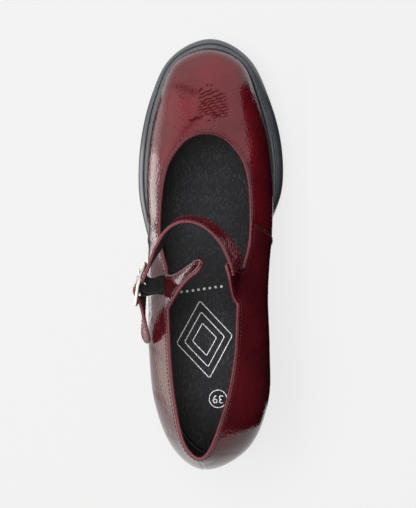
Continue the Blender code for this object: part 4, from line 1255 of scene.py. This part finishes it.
def makeElastic():
    middle, forward, width, outward = buckleFrame()
    front, rear = tabs["lateral"]["front"], tabs["lateral"]["rear"]
    thick, gap = elasticLook["thickness"], last["gap"]
    radius = buckle["bar"] + gap + thick / 2
    columns = elasticLook["columns"]
    first, end = elasticLook["span"]
    shares = np.linspace(0, 1, columns)
    places = front + (rear - front) * (first + (end - first) * shares)
    seat = np.full(columns, elasticLook["seat"])
    anchors, normals = leatherPoint(places, seat), leatherNormal(places, seat)
    aheads = leatherPoint(places + 0.3, seat) - leatherPoint(places - 0.3, seat)
    layers = []
    for share, anchor, normal, ahead in zip(shares, anchors, normals, aheads):
        rise = unit(np.cross(unit(ahead), normal))
        rise = rise if rise[2] > 0 else -rise
        bar = middle + width * elasticLook["width"] * (share - 0.5) - outward * buckle["barDrop"]
        toward = anchor - bar
        toward = unit(toward - width * toward.dot(width))
        side = unit(np.cross(toward, width))
        side = side if side.dot(rise) > 0 else -side
        start = anchor + normal * 1.5 * gap
        reach = float(np.linalg.norm(start - bar)) * 0.35
        apart = thick / 2 + gap

        def layer(sign):
            return bezier(start + rise * apart * sign, start + rise * apart * sign + normal * reach,
                          bar + side * radius * sign + toward * reach, bar + side * radius * sign,
                          np.linspace(0, 1, 20))

        angles = np.linspace(0, math.pi, 18)[1:-1]
        turn = [bar + radius * (math.cos(a) * side - math.sin(a) * toward) for a in angles]
        layers.append(np.concatenate((layer(1), turn, layer(-1)[::-1])))
    grid = np.array(layers)
    along = np.gradient(grid, axis=1)
    over = np.gradient(grid, axis=0)
    normal = unit(np.cross(along, over))
    ribs = 0.5 + 0.5 * np.cos(2 * math.pi * elasticLook["ribs"] * shares)
    near = (thick / 2 - elasticLook["ribHeight"] * (1 - np.sqrt(ribs)))[:, None]
    exists = np.ones((grid.shape[0] - 1, grid.shape[1] - 1), bool)
    made = thickSheet("elastic_loop", grid, normal, near, -near, exists, webbing)
    layer = made.data.uv_layers.new(name="UVMap")
    wide = grid.reshape(-1, 3)
    lengths = lengthsAlong(grid[columns // 2])
    number = {}
    for loop in made.data.loops:
        if loop.vertex_index not in number:
            co = np.array(made.data.vertices[loop.vertex_index].co)
            nearest = int(np.argmin(np.sum((wide - co) ** 2, axis=1)))
            column, step = divmod(nearest, grid.shape[1])
            place = np.array((shares[column] * elasticLook["width"], lengths[step]))
            number[loop.vertex_index] = place / mm / elasticLook["weaveUnit"]
        layer.data[loop.index].uv = number[loop.vertex_index]
    bar = middle - outward * buckle["barDrop"]
    slot = buckle["prong"] + 2 * gap
    reach = (radius + thick) * 1.2
    rings = [[bar + width * slot * sign + forward * reach * a + outward * reach * b
              for a, b in ((-1, -1), (1, -1), (1, 1), (-1, 1))] for sign in (-1, 1)]
    return cutWith(made, [sweep("prong_slot", rings, webbing)])


buckleMade, barMade = makeBuckle()
prongMade = roundRod("buckle_prong", prongPath(), buckle["prong"], nickel)
elasticMade = makeElastic()
print("buckle and elastic ready")


# Insole

insoleLook = {"thickness": 0.003, "play": 0.0005, "crown": 0.5 * mm, "columns": 360, "across": 30}


def insoleTop(y):  # the height of its upper face
    return lastHeight(y) + last["gap"] + insoleLook["thickness"]


def insoleRing(inset, lift):
    place = np.linspace(0, last["count"], insoleLook["columns"], endpoint=False)
    ring = footPoint(place) - footOutward(place) * (last["wall"] + inset)
    ring[:, 2] = lastHeight(ring[:, 1]) + last["gap"] + lift
    return ring


def makeInsole():
    thick, play = insoleLook["thickness"], insoleLook["play"]
    rings = [insoleRing(play, 0.0), insoleRing(play, thick * 0.55)]
    for angle in np.radians((25, 50, 75)):
        rings.append(insoleRing(play + thick * 0.4 * (1 - math.cos(angle)),
                                thick * (0.55 + 0.45 * math.sin(angle))))
    count = insoleLook["columns"]
    points = np.concatenate(rings)
    faces = bandFaces(len(rings), count)
    # the top: lines across from each outer point to its partner on the inner side
    half, wide = count // 2, insoleLook["across"]
    top = (len(rings) - 1) * count
    extra, number = [], {}
    edge = rings[-1]
    for i in range(half + 1):
        partner = (count - i) % count
        for k in range(wide + 1):
            if k == 0 or i in (0, half):
                number[i, k] = top + i
            elif k == wide:
                number[i, k] = top + partner
            else:
                share = k / wide
                point = edge[i] + (edge[partner] - edge[i]) * share
                dish = 0.3 - 1.2 * (share * (1 - share))
                point[2] = insoleTop(point[1]) + insoleLook["crown"] * dish * 0.4
                number[i, k] = len(points) + len(extra)
                extra.append(point)
    for i in range(half):
        for k in range(wide):
            face = dict.fromkeys((number[i, k], number[i, k + 1], number[i + 1, k + 1], number[i + 1, k]))
            if len(face) > 2:
                faces.append(tuple(face))
    faces += ladder(range(count))  # the underside
    return makeMesh("insole_sock", np.concatenate((points, np.array(extra))), faces, insoleSkin)


insoleMade = makeInsole()

printLook = {
    "line": 0.55 * mm, "high": 0.05 * mm, "sunk": -0.3 * mm, "centre": (-2.0 * mm, -57.0 * mm), "turn": 8.0,
    "steps": 14, "cornerCut": 0.03, "dots": 9, "dot": 0.85 * mm, "dotPitch": 3.6 * mm, "dotsAhead": 31 * mm,
    "size": "39", "sizeCentre": (6.6 * mm, -93.5 * mm), "sizeRing": 5.4 * mm, "sizeHeight": 7.2 * mm,
    "sizeDepth": 0.02 * mm,  # only tells the digits' upper face from their lower
}
lozenges = ((17.5, 24.0), (12.5, 17.0), (7.5, 10.0))  # half width and half length of each, in millimetres


def onInsole(x, y, lift):
    return np.array((x, y, float(insoleTop(y)) + lift))


def flatRing(x, y, radius, sides):
    angles = np.linspace(0, 2 * math.pi, sides, endpoint=False)
    return [(x + radius * math.cos(a), y + radius * math.sin(a)) for a in angles]


def inkStrip(points):  # the rings of a thin printed line that closes on itself
    points = np.array(points)
    rings = []
    for behind, point, ahead in zip(np.roll(points, 1, axis=0), points, np.roll(points, -1, axis=0)):
        way = unit(ahead - behind)
        side = np.array((-way[1], way[0])) * printLook["line"] / 2
        rings.append([onInsole(*(point + side * sign), printLook[lift])
                      for sign, lift in ((-1, "sunk"), (1, "sunk"), (1, "high"), (-1, "high"))])
    return rings


def makePrint():
    parts = []
    cx, cy = printLook["centre"]
    turn, steps, cut = math.radians(printLook["turn"]), printLook["steps"], printLook["cornerCut"]

    def placed(x, y):
        return (cx + x * math.cos(turn) - y * math.sin(turn), cy + x * math.sin(turn) + y * math.cos(turn))

    for wide, high in lozenges:
        corners = [(wide, 0), (0, high), (-wide, 0), (0, -high)]
        line = []
        for first, second in zip(corners, corners[1:] + corners[:1]):
            for step in range(steps):
                share = cut + (1 - 2 * cut) * step / (steps - 1)
                line.append(placed((first[0] + (second[0] - first[0]) * share) * mm,
                                   (first[1] + (second[1] - first[1]) * share) * mm))
        parts.append((inkStrip(line), True))
    for step in range(printLook["dots"]):  # a row of dots ahead of them
        x, y = placed((step - printLook["dots"] // 2) * printLook["dotPitch"], printLook["dotsAhead"])
        ring = flatRing(x, y, printLook["dot"], 14)
        rings = [[onInsole(p, q, printLook[lift]) for p, q in ring] for lift in ("sunk", "high")]
        parts.append((rings, False))
    return [sweep(f"print_{i}", rings, foil, closed) for i, (rings, closed) in enumerate(parts)]


def makeSizeMark():
    cx, cy = printLook["sizeCentre"]
    ring = flatRing(cx, cy, printLook["sizeRing"], 48)
    pieces = [sweep("size_ring", inkStrip(ring), foil, True)]
    text = bpy.data.curves.new("size_number", "FONT")
    text.body, text.size, text.extrude = printLook["size"], printLook["sizeHeight"], printLook["sizeDepth"]
    text.align_x, text.align_y = "CENTER", "CENTER"
    holder = linked("size_number", text)
    mesh = evaluatedMesh(holder)
    bpy.data.objects.remove(holder)
    for vertex in mesh.vertices:  # read from the heel's side, as the wearer reads it
        x, y, z = vertex.co
        vertex.co = onInsole(cx - x, cy - y, printLook["high" if z > 0 else "sunk"])
    mesh.materials.clear()
    mesh.materials.append(foil)
    return pieces + [linked("size_digits", mesh)]


def joined(name, objects):
    shape = bmesh.new()
    for obj in objects:
        shape.from_mesh(obj.data)
    mesh = bpy.data.meshes.new(name)
    shape.to_mesh(mesh)
    shape.free()
    mesh.materials.append(objects[0].data.materials[0])
    for obj in objects:
        bpy.data.objects.remove(obj)
    return linked(name, mesh)


insolePrint = joined("insole_print", makePrint() + makeSizeMark())
print("insole ready")


# Sole and heel

soleLook = {
    "weltReach": 0.0085, "weltStep": 0.0012, "bandDrop": 0.0016, "sideGroove": 0.0012, "stations": 480,
    "treadDepth": 0.0022, "treadWidth": 0.0026, "treadPitch": 0.0098, "treads": 7, "treadMiddle": 0.168,
    "heelLength": 0.064, "heelInset": 0.0012, "heelTaper": 0.09, "topPiece": 0.006, "heelHeight": 0.052,
    "blockEase": 0.008, "topPieceEase": 0.010,
    "breast": 0.045,  # how far the heel's front curves in, against the length
}
soleSide = np.array((  # out, drop, step, cut
    (0.06, 0.0, 0.0, 0.0), (0.16, 0.0, 1.0, 0.0), (0.38, 0.0, 1.0, 0.0), (0.43, 0.0, -0.6, 0.0),
    (0.50, 0.0, -0.6, 0.0), (0.55, 0.0, 0.20, 0.0), (0.62, 0.0, 0.35, 0.0), (0.74, 0.030, 0.35, 0.0),
    (0.84, 0.075, 0.2, 0.0), (0.92, 0.12, 0.0, 0.0), (0.98, 0.18, 0.0, 0.0), (1.00, 0.25, 0.0, 0.0),
    (1.00, 0.48, 0.0, 0.0), (1.00, 0.51, 0.0, 1.0), (1.00, 0.56, 0.0, 1.0),
    (1.00, 0.60, 0.0, 0.0), (1.00, 0.95, 0.0, 0.1), (1.00, 1.00, 0.0, 1.0),
))


def soleRing(out, drop, step, cut):
    place = np.linspace(0, last["count"], soleLook["stations"], endpoint=False)
    reach = roundTable(place, "reach")
    raised = np.maximum(reach - 0.5, 0.0) * 2
    apart = out * reach * soleLook["weltReach"] - cut * raised * soleLook["sideGroove"]
    ring = footPoint(place) + footOutward(place) * apart[:, None]
    top, bottom = lastHeight(ring[:, 1]), groundHeight(ring[:, 1])
    height = soleLook["weltStep"] if step > 0 else soleLook["bandDrop"]
    ring[:, 2] = top - drop * (top - bottom) + step * raised * height
    return ring


def makeSole():
    profile = []
    for step in range(len(soleSide) - 1):  # each corner of the side is eased by points close to it
        a, b = soleSide[step], soleSide[step + 1]
        for share in (0.12, 0.5, 0.88):
            profile.append(a + (b - a) * share)
    profile = np.array([soleSide[0]] + profile + [soleSide[-1]])
    rings = [soleRing(*row) for row in profile]
    count = soleLook["stations"]
    faces = bandFaces(len(rings), count) + ladder(range(count))
    faces += ladder(range((len(rings) - 1) * count, len(rings) * count))
    made = makeMesh("sole", np.concatenate(rings), faces, rubber, 30)
    cutters = []
    pitch, count = soleLook["treadPitch"], soleLook["treads"]
    firstGroove = soleLook["treadMiddle"] * last["length"] - 0.5 * (count - 1) * pitch
    for groove in range(count):
        y = firstGroove + groove * pitch
        half, deep, wide = soleLook["treadWidth"] / 2, soleLook["treadDepth"], last["ballWidth"]
        section = [(y - half, -deep), (y + half, -deep), (y + half * 0.75, deep), (y - half * 0.75, deep)]
        rings = [[(x, p, q) for p, q in section] for x in (-wide, wide)]
        cutters.append(sweep(f"tread_{groove}", rings, rubber))
    cutWith(made, cutters)
    made.data.set_sharp_from_angle(angle=math.radians(30))
    return made


def heelOutline(count=480):
    place = np.linspace(-last["count"] / 2, last["count"] / 2, count, endpoint=False)
    reach = roundTable(place, "reach") * soleLook["weltReach"] - soleLook["heelInset"]
    rear = (footPoint(place) + footOutward(place) * reach[:, None])[:, :2]
    rear = rear[rear[:, 1] < -last["length"] / 2 + soleLook["heelLength"]]
    medial, lateral = rear[0], rear[-1]
    share = np.linspace(0, 1, 42)[1:-1, None]
    breast = lateral + (medial - lateral) * share
    breast[:, 1] -= (soleLook["breast"] * last["length"] * share * (1 - share))[:, 0]
    return np.concatenate((rear, breast))


def heelSlice(name, low, high, levels, ease):
    outline = heelOutline()
    middle = heelOutline(120).mean(0)
    rings = []
    for share, inward in levels:
        top = groundHeight(outline[:, 1]) - last["gap"] if high is None else np.full(len(outline), high)
        z = low + (top - low) * share
        taper = soleLook["heelTaper"] * np.sin((1 - z / soleLook["heelHeight"]) * math.pi / 2)
        size = 1 - taper - inward * ease
        flat = middle + (outline - middle) * size[:, None]
        rings.append(np.column_stack((flat, z)))
    return sweep(name, rings, rubber, sharp=35)


soleMade = makeSole()
blockLevels = [(0.0, 1.0), (0.006, 0.3), (0.015, 0.0)] + [(s, 0.0) for s in np.linspace(0.08, 1.0, 16)]
heelMade = heelSlice("heel", soleLook["topPiece"] + last["gap"], None, blockLevels, soleLook["blockEase"])
topPieceLevels = [(0.0, 1.0), (0.06, 0.3), (0.14, 0.0), (0.5, 0.0), (0.86, 0.0), (0.94, 0.3), (1.0, 1.0)]
topPieceMade = heelSlice("heel_tip", 0.0, soleLook["topPiece"], topPieceLevels, soleLook["topPieceEase"])
print("sole and heel ready")


# Which CAD solid each piece stands for

for piece, nodes in (
    (vamp, ["upper"]), (insoleMade, ["insole"]), (soleMade, ["outsole"]), (heelMade, ["heel_block"]),
    (topPieceMade, ["heel_top_piece"]), (strapLeather, ["strap"]), (buckleMade, ["buckle_frame"]),
    (prongMade, ["prong"]), (elasticMade, ["elastic"]),
):
    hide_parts(*nodes)
for piece in (vamp, *quarters, upperLining, toplineEdge, toplineThread, seamThread, strapLeather, strapLining,
              strapThread, tailThread, buckleMade, barMade, prongMade, elasticMade, insoleMade, insolePrint,
              soleMade, heelMade, topPieceMade):
    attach(piece, "root")


# Stage, light and camera

stageLook = {
    "floor": "484848", "glow": 0.767,      # backlit sheet: its own glow hides most of the shadow
    "ambient": 0.14, "tent": 1.12, "tentLean": -0.16, "tentRadius": 3.0, "floorHalf": 4.0,
    "boxSize": 1.5, "boxPlace": (-0.40, 0.20, 1.93), "boxPower": 84.0,
}
# Cards that only the gloss sees: plane and its place, two coordinates of each corner, brightness, colour
reflectionCards = {
    "left_board": (
        "x", -0.078, ((0.020, 0.003), (0.070, 0.003), (0.070, 0.042), (0.020, 0.042)), 3.6, "fffcf9"),
    "left_board_toe": (
        "x", -0.078, ((0.070, 0.003), (0.112, 0.003), (0.104, 0.042), (0.070, 0.042)), 1.5, "fffcf9"),
    "left_panel": (
        "x", -0.150, ((-0.200, 0.001), (-0.045, 0.001), (-0.045, 0.120), (-0.200, 0.120)), 2.6, "fff3ea"),
    "overhead_card": (
        "z", 1.0, ((-0.26, -0.60), (0.24, -0.60), (0.24, -0.04), (-0.26, -0.04)), 2.3, "ffffff"),
    "left_board_low": (
        "x", -0.078, ((-0.052, 0.003), (0.020, 0.003), (0.020, 0.018), (-0.040, 0.018)), 3.6, "fffcf9"),
    "left_black": (
        "z", 0.001, ((-0.050, -0.012), (-0.068, -0.012), (-0.068, 0.108), (-0.050, 0.108)), 0.0, "000000"),
    "camera_body": (
        "z", 0.87, ((0.00, -0.10), (0.10, -0.10), (0.10, 0.01), (0.00, 0.01)), 0.03, "ffffff"),
    "toe_gobo": (
        "z", 0.13, ((-0.022, 0.046), (0.046, 0.046), (0.046, 0.090), (-0.022, 0.090)), 0.0, "000000"),
    "right_black": (
        "z", 0.001, ((0.050, -0.110), (0.105, -0.110), (0.105, 0.112), (0.050, 0.112)), 0.0, "000000"),
    "box_gap_near": (
        "z", 1.0, ((-0.36, 0.76), (-0.36, 0.88), (-0.92, 1.06), (-0.92, 0.94)), 0.1, "ffffff"),
    "box_gap_far": (
        "z", 1.0, ((-0.92, 0.92), (-0.92, 1.08), (-2.40, 2.00), (-2.40, 1.66)), 0.1, "ffffff"),
    "boom_arm": (
        "z", 1.0, ((-0.30, 0.42), (-0.30, 0.48), (-1.00, 0.84), (-1.00, 0.74)), 0.1, "ffffff"),
}
hiddenFrom = {  # the rays that pass each of them by
    "floor": ("diffuse",),  # its glow is for the camera and the gloss, and would redden the walls
    "light_tent": ("transmission", "volume_scatter", "diffuse", "shadow"),
    "black_flag": ("transmission", "volume_scatter", "camera"),
    "card": ("transmission", "volume_scatter", "camera", "diffuse", "shadow"),
}
flag = {
    "x": 0.062, "y": (-0.124, -0.030, 0.030, 0.126), "colour": "1e1a18",
    "top": (0.120, 0.106, 0.066, 0.062), "bottom": (0.028, 0.026, 0.014, 0.010),
}
cameraLook = {
    "lens": 91.2, "sensor": 36.0, "clip": (0.01, 20.0), "place": (0.0489, -0.0039, 0.850), "tilt": 3.49,
}


def stageObject(name, points, faces, material, kind):
    mesh = bpy.data.meshes.new(name)
    mesh.from_pydata(points, [], faces)
    mesh.materials.append(material)
    made = linked(name, mesh)
    for ray in hiddenFrom[kind]:
        setattr(made, f"visible_{ray}", False)
    made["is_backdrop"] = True


def makeFloor():
    material = newMaterial(
        "backlitAcrylic", Roughness=0.9, Base_Color=colourOf(stageLook["floor"]), Specular_IOR_Level=0.0,
        Emission_Color=(1, 1, 1, 1), Emission_Strength=stageLook["glow"])[0]
    size = stageLook["floorHalf"]
    points = [(-size, -size, 0), (size, -size, 0), (size, size, 0), (-size, size, 0)]
    stageObject("floor", points, [(0, 1, 2, 3)], material, "floor")


def glowMaterial(name, strength):
    material, tree, shader, place = newMaterial(name)
    tree.nodes.remove(shader)
    glow = addNode(tree, "ShaderNodeEmission", None, {"Strength": strength})
    tree.links.new(glow.outputs[0], tree.nodes["Material Output"].inputs["Surface"])
    return material, tree, glow, place


def makeCard(name, plane, level, corners, strength, colour):
    material, tree, glow, place = glowMaterial(name, strength)
    glow.inputs["Color"].default_value = colourOf(colour)
    points = [(level, a, b) if plane == "x" else (a, b, level) for a, b in corners]
    stageObject(name, points, [(0, 1, 2, 3)], material, "card")


def makeTent():  # a white tent for the gloss to reflect, a little brighter to the shoe's outer side
    material, tree, glow, place = glowMaterial("light_tent", 1.0)
    side = addNode(tree, "ShaderNodeSeparateXYZ", None, {0: place}).outputs["X"]
    lean = stageLook["tentLean"] / stageLook["tentRadius"]
    bright = addNode(tree, "ShaderNodeMath", {"operation": "MULTIPLY_ADD"},
                     {0: side, 1: lean, 2: stageLook["tent"]})
    tree.links.new(bright.outputs[0], glow.inputs["Strength"])
    radius, rows, columns = stageLook["tentRadius"], 10, 32
    points = []
    for up in math.pi / 2 * 0.99 * np.arange(rows + 1) / rows:
        points += [(x, y, radius * math.sin(up)) for x, y in flatRing(0, 0, radius * math.cos(up), columns)]
    faces = bandFaces(rows + 1, columns) + [range(rows * columns, (rows + 1) * columns)]
    stageObject("light_tent", points, faces, material, "light_tent")


def makeFlag():  # black towards the shoe and clear from behind, so that it shades only the shoe's inner side
    material, tree, shader, place = newMaterial(
        "black_flag", Roughness=1.0, Base_Color=colourOf(flag["colour"]), Specular_IOR_Level=0.0)
    behind = addNode(tree, "ShaderNodeNewGeometry").outputs["Backfacing"]
    clear = addNode(tree, "ShaderNodeBsdfTransparent").outputs[0]
    both = addNode(tree, "ShaderNodeMixShader", None, {0: behind, 1: shader.outputs[0], 2: clear})
    tree.links.new(both.outputs[0], tree.nodes["Material Output"].inputs["Surface"])
    points = [(flag["x"], y, z) for edge in ("bottom", "top") for y, z in zip(flag["y"], flag[edge])]
    count = len(flag["y"])
    faces = [(i, count + i, count + i + 1, i + 1) for i in range(count - 1)]
    stageObject("black_flag", points, faces, material, "black_flag")


def makeSoftbox():
    light = bpy.data.lights.new("overhead_box", "AREA")
    light.shape, light.size, light.energy = "SQUARE", stageLook["boxSize"], stageLook["boxPower"]
    made = linked("overhead_box", light)
    made.location = stageLook["boxPlace"]
    made.rotation_euler = Vector(stageLook["boxPlace"]).to_track_quat("Z", "Y").to_euler()
    made.visible_glossy = False


makeFloor()
makeTent()
makeFlag()
makeSoftbox()
for name, card in reflectionCards.items():
    makeCard(name, *card)
world = bpy.data.worlds.new("studio")
bpy.context.scene.world = world
world.use_nodes = True
sky = world.node_tree.nodes["Background"]
sky.inputs["Color"].default_value = (1, 1, 1, 1)
sky.inputs["Strength"].default_value = stageLook["ambient"]
print("stage ready")

camera = bpy.data.cameras.new("camera")
camera.lens, camera.sensor_width, camera.sensor_fit = cameraLook["lens"], cameraLook["sensor"], "AUTO"
camera.clip_start, camera.clip_end = cameraLook["clip"]
holder = linked("camera", camera)
holder.location = cameraLook["place"]
holder.rotation_euler = (0.0, math.radians(cameraLook["tilt"]), 0.0)
bpy.context.scene.camera = holder
bpy.context.scene.view_settings.view_transform = "Standard"

triangles = {obj.name: sum(len(p.vertices) - 2 for p in obj.data.polygons)
             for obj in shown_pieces() if obj.type == "MESH"}
print("triangles", sum(triangles.values()), triangles)
